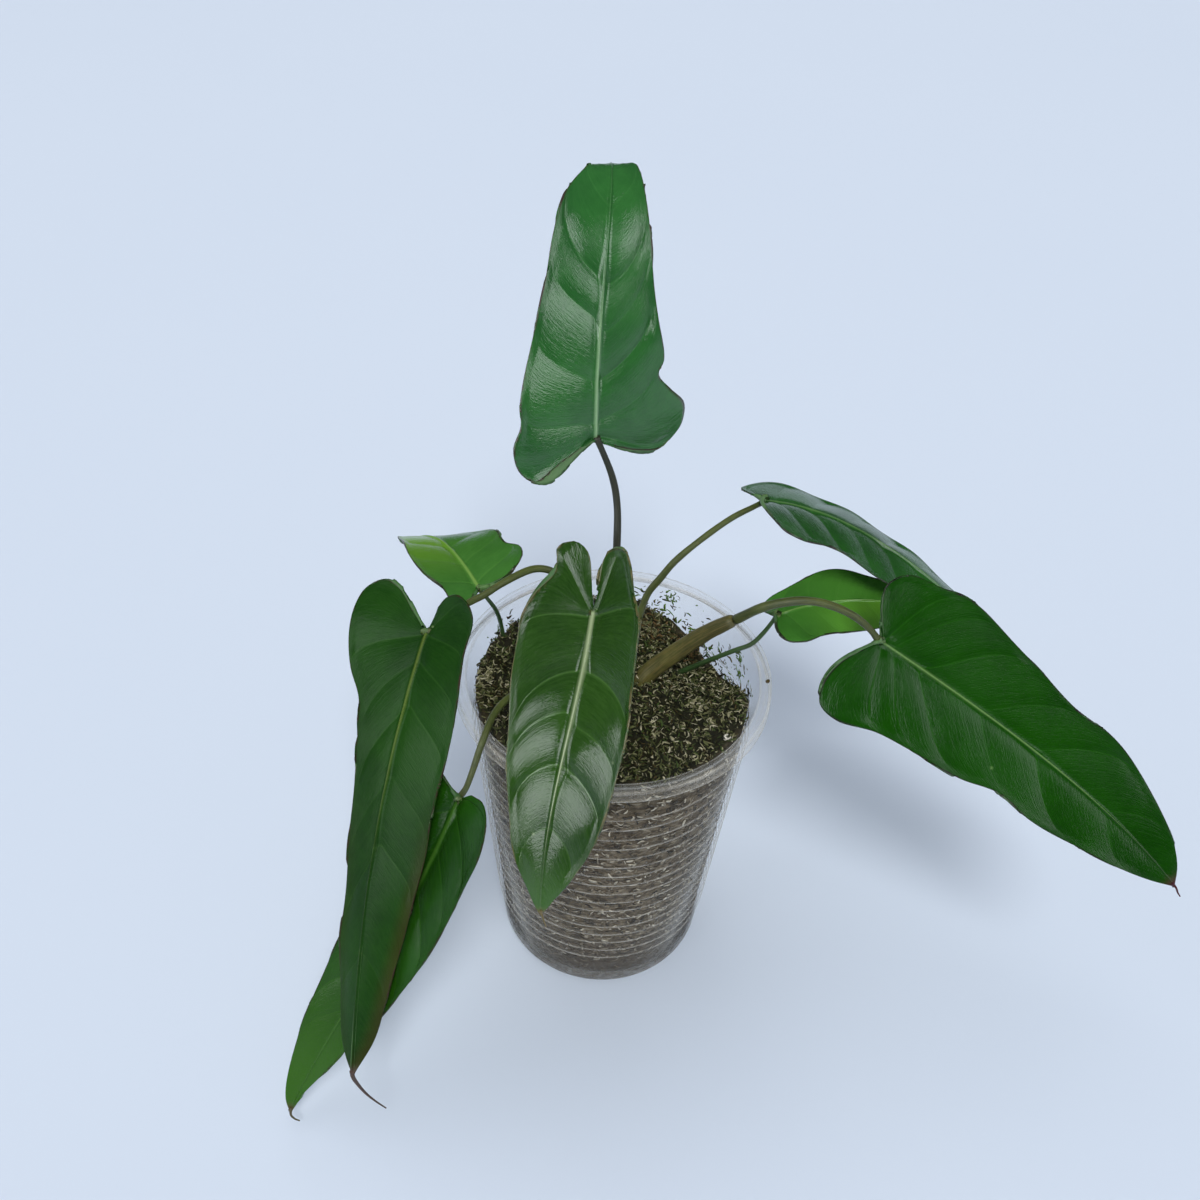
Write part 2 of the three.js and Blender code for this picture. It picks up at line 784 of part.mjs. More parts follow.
for (const sheath of SHEATHS) {
  const points = route3(sheath.route);
  const body = toManifold(rod(points, sheath.radii, sheath.sides));
  plant.add(named("sheath_" + sheath.name, toGeometry(body), COLOUR.ochre));
  substrate = substrate.subtract(holeFor(points, sheath.radii, sheath.sides));
}
for (const petiole of PETIOLES) {
  const points = petiolePoints(petiole);
  const body = toManifold(rod(points, petiole.radii));
  plant.add(named("petiole_" + petiole.name, toGeometry(body), petiole.colour));
  if (!petiole.sheath) substrate = substrate.subtract(holeFor(points, petiole.radii));
}
plant.add(named("substrate", toGeometry(substrate), COLOUR.moss));
plant.add(named("crown_stem", crown, COLOUR.olive));
for (const leaf of LEAVES) plant.add(named("blade_" + leaf.name, bladeGeometry(leaf), leaf.colour));

export default plant;
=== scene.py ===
"""The looks of a potted juvenile philodendron: glossy veined leaves, stalks, moss and a clear ringed cup.

Sizes are in millimetres, in the row's own frame: +Z up the cup's axis, the origin on the surface below it.
"""

import logging
import math
from dataclasses import dataclass, field
from enum import Enum
from typing import Iterable, Optional, Sequence, Union

import bmesh
import bpy
import numpy as np
from mathutils import Matrix, Quaternion, Vector


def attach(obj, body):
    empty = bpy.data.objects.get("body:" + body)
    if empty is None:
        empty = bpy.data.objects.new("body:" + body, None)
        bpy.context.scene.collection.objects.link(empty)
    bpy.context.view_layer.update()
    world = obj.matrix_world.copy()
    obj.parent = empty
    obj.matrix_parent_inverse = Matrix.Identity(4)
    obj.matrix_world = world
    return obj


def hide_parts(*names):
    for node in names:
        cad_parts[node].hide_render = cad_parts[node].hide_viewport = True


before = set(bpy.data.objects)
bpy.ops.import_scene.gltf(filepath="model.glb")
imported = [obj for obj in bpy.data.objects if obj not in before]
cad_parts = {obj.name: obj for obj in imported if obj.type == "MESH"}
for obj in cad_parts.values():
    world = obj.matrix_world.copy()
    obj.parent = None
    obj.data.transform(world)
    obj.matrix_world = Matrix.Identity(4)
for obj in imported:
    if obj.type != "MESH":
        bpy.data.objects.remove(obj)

LOG = logging.getLogger("philodendron")
MM = 0.001
WELD = 0.01
BODY = "root"
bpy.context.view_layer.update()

Point = tuple[float, float, float]
Pair = tuple[float, float]
Colour = tuple[float, float, float, float]

WHITE: Colour = (1.0, 1.0, 1.0, 1.0)


class Slot(Enum):
    """The record's material slots."""

    CUP = "clear_cup"
    MOSS = "moss_mix"
    PETIOLE = "petiole"
    SHEATH = "leaf_sheath"
    LEAF = "leaf"
    YOUNG = "young_leaf"


class Side(Enum):
    """The half of a blade, by the way that its across axis points."""

    RIGHT = 1
    LEFT = -1


def rgb(red: int, green: int, blue: int) -> Colour:
    """A display colour as scene-linear light.

    Args:
        red: its red, from 0 to 255.
        green: its green.
        blue: its blue.

    Returns:
        The colour, opaque.
    """
    parts = [channel / 255 for channel in (red, green, blue)]
    linear = [p / 12.92 if p <= 0.04045 else ((p + 0.055) / 1.055) ** 2.4 for p in parts]
    return (*linear, 1.0)


def smoothstep(low: float, high: float, value: np.ndarray) -> np.ndarray:
    """A soft step from 0 at low to 1 at high."""
    t = np.clip((value - low) / (high - low), 0, 1)
    return t * t * (3 - 2 * t)


def smooth_path(knots: Sequence[Sequence[float]], count: int) -> np.ndarray:
    """Even steps along a centripetal curve through knots.

    Args:
        knots: the points that the curve goes through, of two or three numbers each.
        count: how many points come back, both ends among them.

    Returns:
        The points, one a row.
    """
    fine_steps = 24
    given = np.asarray(knots, float)
    ends = [2 * given[:1] - given[1:2], given, 2 * given[-1:] - given[-2:-1]]
    p = np.vstack(ends)
    parts = []
    for a, b, c, d in zip(p, p[1:], p[2:], p[3:]):
        t1 = np.linalg.norm(b - a) ** 0.5
        t2 = t1 + np.linalg.norm(c - b) ** 0.5
        t3 = t2 + np.linalg.norm(d - c) ** 0.5
        t = np.linspace(t1, t2, fine_steps, endpoint=False)[:, None]
        ab = ((t1 - t) * a + t * b) / t1
        bc = ((t2 - t) * b + (t - t1) * c) / (t2 - t1)
        cd = ((t3 - t) * c + (t - t2) * d) / (t3 - t2)
        abc = ((t2 - t) * ab + t * bc) / t2
        bcd = ((t3 - t) * bc + (t - t1) * cd) / (t3 - t1)
        parts.append(((t2 - t) * abc + (t - t1) * bcd) / (t2 - t1))
    line = np.vstack([*parts, given[-1:]])
    run = np.r_[0, np.cumsum(np.linalg.norm(np.diff(line, axis=0), axis=1))]
    at = np.linspace(0, run[-1], count)
    return np.stack([np.interp(at, run, line[:, k]) for k in range(line.shape[1])], axis=1)


# Meshes


def linked(name: str, mesh: bpy.types.Mesh, materials: Iterable[bpy.types.Material]) -> bpy.types.Object:
    """Puts a mesh in the scene as a smooth-shaded object.

    Args:
        name: the object's name.
        mesh: its mesh.
        materials: its materials, in the order of their slots.

    Returns:
        The object.
    """
    mesh.materials.clear()
    for material in materials:
        mesh.materials.append(material)
    mesh.shade_smooth()
    made = bpy.data.objects.new(name, mesh)
    bpy.context.scene.collection.objects.link(made)
    return made


def mesh_of(bm: bmesh.types.BMesh, name: str) -> bpy.types.Mesh:
    """Turns a bmesh into a mesh and frees it.

    Args:
        bm: the bmesh.
        name: the mesh's name.

    Returns:
        The mesh.
    """
    mesh = bpy.data.meshes.new(name)
    bm.to_mesh(mesh)
    bm.free()
    return mesh


def settle(piece: bpy.types.Object) -> None:
    """Applies a piece's modifiers to its mesh.

    Args:
        piece: the object.
    """
    depsgraph = bpy.context.evaluated_depsgraph_get()
    shaped = piece.evaluated_get(depsgraph)
    mesh = bpy.data.meshes.new_from_object(shaped, preserve_all_data_layers=True, depsgraph=depsgraph)
    piece.modifiers.clear()
    piece.vertex_groups.clear()
    piece.data = mesh


def fit(piece: bpy.types.Object, nodes: Sequence[str] = ()) -> None:
    """Puts a finished piece on the part.

    Args:
        piece: an object at the origin, with its place in its mesh.
        nodes: the CAD nodes that it stands for.
    """
    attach(piece, BODY)
    if nodes:
        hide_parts(*nodes)


def add_piece(
    name: str, mesh: bpy.types.Mesh, material: bpy.types.Material, nodes: Sequence[str] = ()
) -> bpy.types.Object:
    """Makes a piece with one material and puts it on the part.

    Args:
        name: its name.
        mesh: its mesh, in its place.
        material: its finish.
        nodes: the CAD nodes that it stands for.

    Returns:
        The piece.
    """
    piece = linked(name, mesh, [material])
    fit(piece, nodes)
    return piece


def path_frames(points: np.ndarray) -> list[Matrix]:
    """A frame at each point of a line, with +Z along it.

    Args:
        points: the line.

    Returns:
        The frames, each turned as little as possible from the one before.
    """
    line = [Vector(point) for point in points]
    ahead = [(b - a).normalized() for a, b in zip(line, line[1:])]
    ways = [ahead[0], *[(a + b).normalized() for a, b in zip(ahead, ahead[1:])], ahead[-1]]
    turn = ways[0].to_track_quat("Z", "X")
    frames = []
    before = ways[0]
    for at, way in zip(line, ways):
        turn = before.rotation_difference(way) @ turn
        before = way
        frames.append(Matrix.Translation(at) @ turn.to_matrix().to_4x4())
    return frames


def add_tube(
    bm: bmesh.types.BMesh,
    points: np.ndarray,
    radii: Sequence[float],
    sides: int,
    squeeze: Pair = (1.0, 1.0),
    marks: Optional[dict[str, float]] = None,
) -> list[bmesh.types.BMVert]:
    """Adds a closed round rod along a line.

    Args:
        bm: the bmesh that takes it, in metres.
        points: the line, in millimetres.
        radii: the rod's radius at each point.
        sides: how many sides it has.
        squeeze: the section's scale on its own two axes.
        marks: values for vertex attributes, all over the rod.

    Returns:
        The new vertices. Their attributes run, turn_x and turn_y tell where they are on the rod.
    """
    layers = {name: float_layer(bm, name) for name in ("run", "turn_x", "turn_y", *(marks or {}))}
    rings = []
    run = 0.0
    for k, (place, radius) in enumerate(zip(path_frames(points), radii)):
        if k:
            run += float(np.linalg.norm(points[k] - points[k - 1]))
        shape = Matrix.Diagonal((squeeze[0] * radius * MM, squeeze[1] * radius * MM, 1, 1))
        place.translation *= MM
        ring = bmesh.ops.create_circle(bm, segments=sides, radius=1, matrix=place @ shape)["verts"]
        for j, vert in enumerate(ring):
            vert[layers["run"]] = run
            vert[layers["turn_x"]] = math.cos(2 * math.pi * j / sides)
            vert[layers["turn_y"]] = math.sin(2 * math.pi * j / sides)
            for name, value in (marks or {}).items():
                vert[layers[name]] = value
        rings.append(ring)
    for low, high in zip(rings, rings[1:]):
        for j in range(sides):
            bm.faces.new((low[j], low[j - 1], high[j - 1], high[j]))
    bm.faces.new(rings[0])
    bm.faces.new(rings[-1][::-1])
    return [vert for ring in rings for vert in ring]


def lathed(line: Sequence[tuple[float, float, float]], mark: str, steps: int) -> bmesh.types.BMesh:
    """Turns a line once about +Z.

    Args:
        line: its points, each a radius and a height in millimetres and a value.
        mark: the vertex attribute that takes the value.
        steps: how many steps the turn has.

    Returns:
        The turned skin as a bmesh, in metres.
    """
    bm = bmesh.new()
    layer = float_layer(bm, mark)
    before = None
    for radius, z, value in line:
        vert = bm.verts.new((radius * MM, 0, z * MM))
        vert[layer] = value
        if before:
            bm.edges.new((before, vert))
        before = vert
    bmesh.ops.spin(
        bm, geom=[*bm.verts, *bm.edges], axis=(0, 0, 1), cent=(0, 0, 0), dvec=(0, 0, 0),
        angle=2 * math.pi, steps=steps, use_merge=True, use_duplicate=False,
    )
    bmesh.ops.remove_doubles(bm, verts=bm.verts, dist=WELD * MM)
    return bm


def float_layer(bm: bmesh.types.BMesh, name: str) -> bmesh.types.BMLayerItem:
    """The bmesh's vertex layer of that name, made if it isn't there."""
    layers = bm.verts.layers.float
    return layers.get(name) or layers.new(name)


def scattered(
    name: str, shapes: Sequence[bpy.types.Mesh], places: Sequence[Matrix], tints: np.ndarray
) -> bpy.types.Mesh:
    """One mesh of many copies of small shapes.

    Args:
        name: the mesh's name.
        shapes: the shapes, taken in turn.
        places: a matrix for each copy, in metres.
        tints: a value for each copy, kept in the vertex attribute tint.

    Returns:
        The mesh.
    """
    corners, faces, sizes, colour = [], [], [], []
    start = 0
    kept = []
    for shape in shapes:
        co = np.empty(len(shape.vertices) * 3)
        shape.vertices.foreach_get("co", co)
        loops = np.empty(len(shape.loops), int)
        shape.loops.foreach_get("vertex_index", loops)
        counts = np.empty(len(shape.polygons), int)
        shape.polygons.foreach_get("loop_total", counts)
        kept.append((co.reshape(-1, 3), loops, counts))
    for i, place in enumerate(places):
        co, loops, counts = kept[i % len(kept)]
        matrix = np.array(place)
        corners.append(co @ matrix[:3, :3].T + matrix[:3, 3])
        faces.append(loops + start)
        sizes.append(counts)
        colour.append(np.full(len(co), tints[i]))
        start += len(co)
    counts = np.concatenate(sizes)
    mesh = bpy.data.meshes.new(name)
    mesh.vertices.add(start)
    mesh.vertices.foreach_set("co", np.concatenate(corners).ravel())
    mesh.loops.add(int(counts.sum()))
    mesh.loops.foreach_set("vertex_index", np.concatenate(faces))
    mesh.polygons.add(len(counts))
    mesh.polygons.foreach_set("loop_start", np.r_[0, np.cumsum(counts)[:-1]])
    tint = mesh.attributes.new("tint", "FLOAT", "POINT")
    tint.data.foreach_set("value", np.concatenate(colour))
    mesh.update(calc_edges=True)
    mesh.validate()
    return mesh


# Shader trees

Socket = bpy.types.NodeSocket
Value = Union[float, Sequence[float], Socket]
Inputs = dict[Union[str, int], Value]


@dataclass
class Tree:
    """A short way to write a node tree."""

    tree: bpy.types.NodeTree

    def feed(self, node: bpy.types.Node, inputs: Inputs) -> None:
        """Sets or links a node's inputs.

        Args:
            node: the node.
            inputs: a value or an output socket for each named or numbered input.
        """
        for name, value in inputs.items():
            if isinstance(value, Socket):
                self.tree.links.new(value, node.inputs[name])
            else:
                node.inputs[name].default_value = value

    def add(self, kind: str, inputs: Optional[Inputs] = None, **settings: object) -> bpy.types.Node:
        """Adds a node.

        Args:
            kind: its type, without the words that every shader node's type starts with.
            inputs: a value or an output socket for each named or numbered input.
            settings: the node's own properties.

        Returns:
            The node.
        """
        prefix = "" if kind.startswith("Node") else "ShaderNode"
        node = self.tree.nodes.new(prefix + kind)
        for name, value in settings.items():
            setattr(node, name, value)
        self.feed(node, inputs or {})
        return node

    def value(self, name: str) -> Socket:
        """The vertex attribute of that name, as a number."""
        return self.add("Attribute", attribute_name=name).outputs["Fac"]

    def maths(self, operation: str, *values: Value, clamp: bool = False) -> Socket:
        """A Math node's result."""
        return self.add("Math", dict(enumerate(values)), operation=operation, use_clamp=clamp).outputs[0]

    def times(self, first: Value, second: Value) -> Socket:
        """The product of two values."""
        return self.maths("MULTIPLY", first, second)

    def plus(self, first: Value, second: Value) -> Socket:
        """The sum of two values."""
        return self.maths("ADD", first, second)

    def span(self, value: Value, low: float, high: float, to: Pair = (0.0, 1.0)) -> Socket:
        """A value taken from low and high to the two numbers of `to`, and held there."""
        inputs = {"Value": value, "From Min": low, "From Max": high, "To Min": to[0], "To Max": to[1]}
        return self.add("MapRange", inputs, clamp=True).outputs["Result"]

    def mix(self, share: Value, first: Value, second: Value) -> Socket:
        """Two colours mixed by share."""
        return self.add("Mix", {"Factor": share, 6: first, 7: second}, data_type="RGBA").outputs[2]

    def coats(self, colour: Value, *coats: tuple[Value, Value]) -> Socket:
        """Lays colours over a colour, one after the other.

        Args:
            colour: the first colour.
            coats: the share and the colour of each coat.

        Returns:
            The colour that is seen.
        """
        for share, coat in coats:
            colour = self.mix(share, colour, coat)
        return colour

    def noise(self, vector: Value, scale: Value, detail: float = 2.0, roughness: float = 0.5) -> Socket:
        """Noise from 0 to 1 at a scale."""
        inputs = {"Vector": vector, "Scale": scale, "Detail": detail, "Roughness": roughness}
        return self.add("TexNoise", inputs).outputs["Fac"]

    def place(self) -> Socket:
        """Object coordinates, in metres."""
        return self.add("TexCoord").outputs["Object"]

    def height(self, vector: Value) -> Socket:
        """A vector's third number."""
        return self.add("SeparateXYZ", {"Vector": vector}).outputs["Z"]

    def vector(self, x: Value, y: Value, z: Value) -> Socket:
        """Three numbers as a vector."""
        return self.add("CombineXYZ", {"X": x, "Y": y, "Z": z}).outputs[0]

    def bump(self, height: Value, strength: float, depth: float) -> Socket:
        """The normal of a relief that is so many millimetres deep."""
        return self.add("Bump", {"Height": height, "Strength": strength, "Distance": depth * MM}).outputs[0]

    def group(self, group: bpy.types.NodeTree, **inputs: Value) -> Socket:
        """A node group's result."""
        return self.add("Group", inputs, node_tree=group).outputs[0]


def new_material(name: str) -> tuple[bpy.types.Material, Tree, bpy.types.Node]:
    """Makes a material.

    Args:
        name: its name.

    Returns:
        The material, its tree and its Principled shader.
    """
    material = bpy.data.materials.new(name)
    material.use_nodes = True
    return material, Tree(material.node_tree), material.node_tree.nodes["Principled BSDF"]


def new_group(
    name: str, output: str, inputs: dict[str, Union[None, float, Colour]]
) -> tuple[Tree, dict[str, Socket]]:
    """Makes a node group that has a Result and nothing else yet.

    Args:
        name: the group's name.
        output: the kind of its Result, Float or Color.
        inputs: the default of each input, a number or a colour, or None for a vector.

    Returns:
        The group's tree, and its inputs' sockets by name.
    """
    group = bpy.data.node_groups.new(name, "ShaderNodeTree")
    for label, default in inputs.items():
        kind = "Vector" if default is None else "Float" if isinstance(default, float) else "Color"
        socket = group.interface.new_socket(label, in_out="INPUT", socket_type="NodeSocket" + kind)
        if default is not None:
            socket.default_value = default
    group.interface.new_socket("Result", in_out="OUTPUT", socket_type="NodeSocket" + output)
    tree = Tree(group)
    given = tree.add("NodeGroupInput")
    return tree, {socket.name: socket for socket in given.outputs if socket.name}


@dataclass
class Effects:
    """The node groups that more than one finish uses."""

    fine_blotches: float = 7.0
    fine_share: float = 0.35
    blotch_contrast: float = 4.0
    speck_contrast: float = 14.0
    bottom_dark_heights: Pair = (6.0, 34.0)
    line_counts: Pair = (2.0, 5.0)
    line_scales: Pair = (1.1, 3.1)
    line_shares: Pair = (0.6, 0.5)
    line_span: Pair = (0.35, 0.75)
    mottle: bpy.types.NodeTree = field(init=False)
    specks: bpy.types.NodeTree = field(init=False)
    bottom_dark: bpy.types.NodeTree = field(init=False)
    lines: bpy.types.NodeTree = field(init=False)

    def __post_init__(self) -> None:
        """Builds the groups."""
        self.mottle = self.build_mottle()
        self.specks = self.build_specks()
        self.bottom_dark = self.build_bottom_dark()
        self.lines = self.build_lines()

    def build_mottle(self) -> bpy.types.NodeTree:
        """Blotches of a second colour over a first, in two sizes.

        Returns:
            The group.
        """
        inputs = {"Vector": None, "First": WHITE, "Second": WHITE, "Scale": 60.0, "Contrast": 1.0}
        tree, given = new_group("mottle", "Color", inputs)
        broad = tree.noise(given["Vector"], given["Scale"])
        fine = tree.noise(given["Vector"], tree.times(given["Scale"], self.fine_blotches), detail=3.0)
        both = tree.plus(broad, tree.times(fine, self.fine_share))
        centred = tree.maths("SUBTRACT", both, (1 + self.fine_share) / 2)
        spread = tree.times(centred, tree.times(given["Contrast"], self.blotch_contrast))
        mask = tree.maths("ADD", spread, 0.5, clamp=True)
        tree.add("NodeGroupOutput", {"Result": tree.mix(mask, given["First"], given["Second"])})
        return tree.tree

    def build_specks(self) -> bpy.types.NodeTree:
        """A mask of small round specks, one in some of the cells of a size.

        Returns:
            The group.
        """
        tree, given = new_group("specks", "Float", {"Vector": None, "Scale": 200.0, "Size": 0.12, "Share": 0.2})
        cells = tree.add("TexVoronoi", {"Vector": given["Vector"], "Scale": given["Scale"]})
        lot = tree.add("SeparateColor", {"Color": cells.outputs["Color"]}).outputs["Red"]
        chosen = tree.maths("LESS_THAN", lot, given["Share"])
        soft = tree.maths("SUBTRACT", given["Size"], cells.outputs["Distance"])
        spot = tree.maths("MULTIPLY", soft, self.speck_contrast, clamp=True)
        tree.add("NodeGroupOutput", {"Result": tree.times(spot, chosen)})
        return tree.tree

    def build_bottom_dark(self) -> bpy.types.NodeTree:
        """A mask that fades out from the cup's floor up past its first rings.

        Returns:
            The group.
        """
        tree, given = new_group("bottom_dark", "Float", {"Vector": None})
        low, high = (height * MM for height in self.bottom_dark_heights)
        mask = tree.span(tree.height(given["Vector"]), low, high, (1.0, 0.0))
        tree.add("NodeGroupOutput", {"Result": mask})
        return tree.tree

    def build_lines(self) -> bpy.types.NodeTree:
        """The fine lines of a leaf, which run beside its veins.

        Returns:
            The group.
        """
        tree, _ = new_group("leaf lines", "Float", {})
        share, run = tree.value("share"), tree.value("run")
        few, many = (tree.times(share, count) for count in self.line_counts)
        coarse = tree.noise(tree.vector(few, run, 0.0), self.line_scales[0], detail=3.0, roughness=0.6)
        fine = tree.noise(tree.vector(many, run, 4.0), self.line_scales[1])
        both = tree.plus(*(tree.times(*pair) for pair in zip((coarse, fine), self.line_shares)))
        tree.add("NodeGroupOutput", {"Result": tree.span(both, *self.line_span)})
        return tree.tree


# Finishes


@dataclass(frozen=True)
class LeafFinish:
    """A glossy leaf skin over a net of fine lines that follow the veins."""

    name: str
    body: Colour
    deep: Colour
    young: Colour
    vein: Colour = rgb(92, 132, 62)
    rib: Colour = rgb(150, 168, 118)
    margin: Colour = rgb(70, 44, 44)
    tip: Colour = rgb(92, 62, 48)
    blush: Colour = rgb(82, 62, 30)
    gloss: float = 0.18
    shine: float = 0.5
    mottle: Pair = (38.0, 0.8)
    line_share: float = 0.16
    vein_share: float = 0.34
    fleck_share: float = 0.5
    smears: float = 55.0
    smear_gloss: Pair = (-0.04, 0.1)
    cells: float = 1500.0
    cell_share: float = 0.12
    relief: Pair = (0.3, 0.2)
    under: Colour = rgb(84, 122, 70)
    under_deep: Colour = rgb(62, 100, 54)
    under_rib: Colour = rgb(128, 128, 84)
    under_mottle: Pair = (50.0, 0.7)
    under_vein_share: float = 0.6
    under_gloss: float = 0.55

    def build(self, effects: Effects) -> bpy.types.Material:
        """The finish of a blade's upper face.

        Args:
            effects: the shared node groups.

        Returns:
            The material.
        """
        material, tree, skin = new_material(self.name)
        place = tree.place()
        scale, contrast = self.mottle
        mottle = tree.group(
            effects.mottle, Vector=place, First=self.body, Second=self.deep, Scale=scale, Contrast=contrast
        )
        lines = tree.group(effects.lines)
        flecks = tree.group(effects.specks, Vector=place, Scale=150.0, Size=0.11, Share=0.05)
        colour = tree.coats(
            mottle,
            (tree.value("young"), self.young),
            (tree.times(lines, self.line_share), self.vein),
            (tree.times(tree.value("vein"), self.vein_share), self.vein),
            (tree.times(flecks, self.fleck_share), self.rib),
            (tree.value("blush"), self.blush),
            (tree.value("rib"), self.rib),
            (tree.value("margin"), self.margin),
            (tree.value("tip"), self.tip),
        )
        smears = tree.noise(place, self.smears, detail=4.0, roughness=0.6)
        smooth, dull = (self.gloss + change for change in self.smear_gloss)
        cells = tree.add("TexVoronoi", {"Vector": place, "Scale": self.cells}).outputs["Distance"]
        tree.feed(skin, {
            "Base Color": colour,
            "Roughness": tree.span(smears, 0.3, 0.75, (smooth, dull)),
            "Normal": tree.bump(tree.plus(lines, tree.times(cells, self.cell_share)), *self.relief),
            "Specular IOR Level": self.shine,
        })
        return material

    def build_underside(self, effects: Effects) -> bpy.types.Material:
        """The duller, paler finish of a blade's lower face.

        Args:
            effects: the shared node groups.

        Returns:
            The material.
        """
        material, tree, skin = new_material(self.name + " underside")
        scale, contrast = self.under_mottle
        mottle = tree.group(
            effects.mottle, Vector=tree.place(), First=self.under, Second=self.under_deep, Scale=scale,
            Contrast=contrast,
        )
        colour = tree.coats(
            mottle,
            (tree.times(tree.value("vein"), self.under_vein_share), self.rib),
            (tree.value("rib"), self.under_rib),
            (tree.value("margin"), self.margin),
            (tree.value("tip"), self.tip),
        )
        bump = tree.bump(tree.group(effects.lines), *self.relief)
        tree.feed(skin, {"Base Color": colour, "Normal": bump, "Roughness": self.under_gloss})
        return material


@dataclass(frozen=True)
class StalkFinish:
    """A stalk's skin, finely lined along its length."""

    name: str
    body: Colour
    deep: Colour
    fleck: Colour
    gloss: float = 0.42
    mottle_scale: float = 90.0
    across: float = 3.0
    along: float = 0.06
    share: float = 0.6
    relief: Pair = (0.5, 0.25)

    def build(self, effects: Effects) -> bpy.types.Material:
        """The stalk's finish.

        Args:
            effects: the shared node groups.

        Returns:
            The material.
        """
        material, tree, skin = new_material(self.name)
        place = tree.place()
        mottle = tree.group(
            effects.mottle, Vector=place, First=self.body, Second=self.deep, Scale=self.mottle_scale, Contrast=1.0
        )
        around = [tree.times(tree.value(name), self.across) for name in ("turn_x", "turn_y")]
        skin_place = tree.vector(*around, tree.times(tree.value("run"), self.along))
        fibres = tree.noise(skin_place, scale=3.0, detail=3.0, roughness=0.6)
        flecks = tree.group(effects.specks, Vector=place, Scale=420.0, Size=0.2, Share=0.12)
        colour = tree.coats(
            mottle,
            (tree.span(fibres, 0.45, 0.68, (0.0, self.share)), self.fleck),
            (tree.times(flecks, self.share), self.fleck),
        )
        tree.feed(skin, {"Base Color": colour, "Normal": tree.bump(fibres, *self.relief), "Roughness": self.gloss})
        return material


@dataclass(frozen=True)
class ClearPlastic:
    """Thin clear plastic, whitish on its rings and lip and where it is seen along its wall, and darker at its foot.
    The whiteness of the rings and lip is partly the plastic's own and partly painted highlight; the darkening at the
    foot is painted shade.
    """

    name: str = "clear plastic"
    haze: Colour = rgb(222, 219, 208)
    dirt: Colour = rgb(70, 54, 40)
    # Painted shade at the cup's foot: its colour, the heights over which it fades out, and how opaque it makes the
    # plastic.
    foot_shade: Colour = rgb(56, 45, 36)
    foot_shade_heights: Pair = (2.0, 10.0)
    foot_shade_share: float = 0.7
    dirt_share: float = 0.8
    clear: float = 0.004
    scuffed: float = 0.025
    ring: Pair = (0.28, 0.56)
    edgewise: Pair = (0.5, 0.1)
    edge_sharpness: float = 10.0
    polish: Pair = (0.12, 0.3)
    shine: float = 0.65

    def build(self, effects: Effects) -> bpy.types.Material:
        """The cup's finish. Its alpha says how much of the plastic is seen.

        Args:
            effects: the shared node groups.

        Returns:
            The material.
        """
        material, tree, skin = new_material(self.name)
        place = tree.place()
        scuffs = tree.noise(place, scale=260.0, detail=4.0, roughness=0.65)
        dirt = tree.group(effects.specks, Vector=place, Scale=240.0, Size=0.1, Share=0.06)
        # Painted shade: towards the floor the plastic is darkened and made more opaque, mottled by the scuffs, in
        # place of the shade at the cup's foot.
        low, high = (height * MM for height in self.foot_shade_heights)
        foot = tree.span(tree.height(place), low, high, (1.0, 0.0))
        foot_shading = tree.times(foot, tree.span(scuffs, 0.3, 0.6, (0.6, 1.0)))
        foot_shade_weight = tree.times(foot_shading, self.foot_shade_share)
        facing = tree.add("LayerWeight", {"Blend": 0.5}).outputs["Facing"]
        edgewise = tree.times(
            tree.maths("POWER", facing, self.edge_sharpness), tree.span(foot_shading, 0.3, 1.0, self.edgewise)
        )
        patches = tree.noise(place, scale=130.0, detail=3.0, roughness=0.6)
        # Painted highlight: the ring attribute whitens the ring crests and the lip's edges, partly the plastic's own
        # whitish edges.
        ring = tree.times(tree.value("ring"), tree.span(patches, 0.35, 0.65, self.ring))
        # Scuff wear plus the painted shade at the foot.
        scuffs_and_foot_shade = tree.plus(tree.span(scuffs, 0.5, 0.75, (0.0, self.scuffed)), foot_shade_weight)
        solid = tree.plus(tree.plus(tree.plus(ring, scuffs_and_foot_shade), edgewise), self.clear)
        tree.feed(skin, {
            "Base Color": tree.coats(self.haze, (tree.times(dirt, self.dirt_share), self.dirt), (foot_shading, self.foot_shade)),
            "Alpha": tree.maths("MAXIMUM", solid, dirt, clamp=True),
            "Roughness": tree.maths("MAXIMUM", tree.span(scuffs, 0.3, 0.8, self.polish), foot_shade_weight),
            "Specular IOR Level": self.shine,
        })
        return material


@dataclass(frozen=True)
class FibreFinish:
    """Chopped moss and fibre, each bit with its own tint."""

    name: str
    tints: tuple[Colour, ...]
    roughness: float = 0.85
    bottom_dark: float = 0.0
    bottom_dark_tint: Colour = rgb(62, 47, 33)
    grain: float = 900.0
    grain_share: float = 0.35
    relief: Pair = (0.6, 0.3)

    def build(self, effects: Effects) -> bpy.types.Material:
        """The bits' finish, which takes a tint by the attribute tint.

        Args:
            effects: the shared node groups.

        Returns:
            The material.
        """
        material, tree, skin = new_material(self.name)
        ramp = tree.add("ValToRGB", {"Fac": tree.value("tint")})
        band = ramp.color_ramp
        band.interpolation = "CONSTANT"
        band.elements.remove(band.elements[1])
        band.elements[0].color = self.tints[0]
        for i, tint in enumerate(self.tints[1:], 1):
            band.elements.new(i / len(self.tints)).color = tint
        place = tree.place()
        grain = tree.noise(place, self.grain, detail=3.0, roughness=0.6)
        colour = tree.coats(
            ramp.outputs["Color"],
            (tree.span(grain, 0.4, 0.7, (0.0, self.grain_share)), self.tints[0]),
            # Darker towards the cup's floor.
            (tree.times(tree.group(effects.bottom_dark, Vector=place), self.bottom_dark), self.bottom_dark_tint),
        )
        tree.feed(skin, {"Base Color": colour, "Normal": tree.bump(grain, *self.relief), "Roughness": self.roughness})
        return material


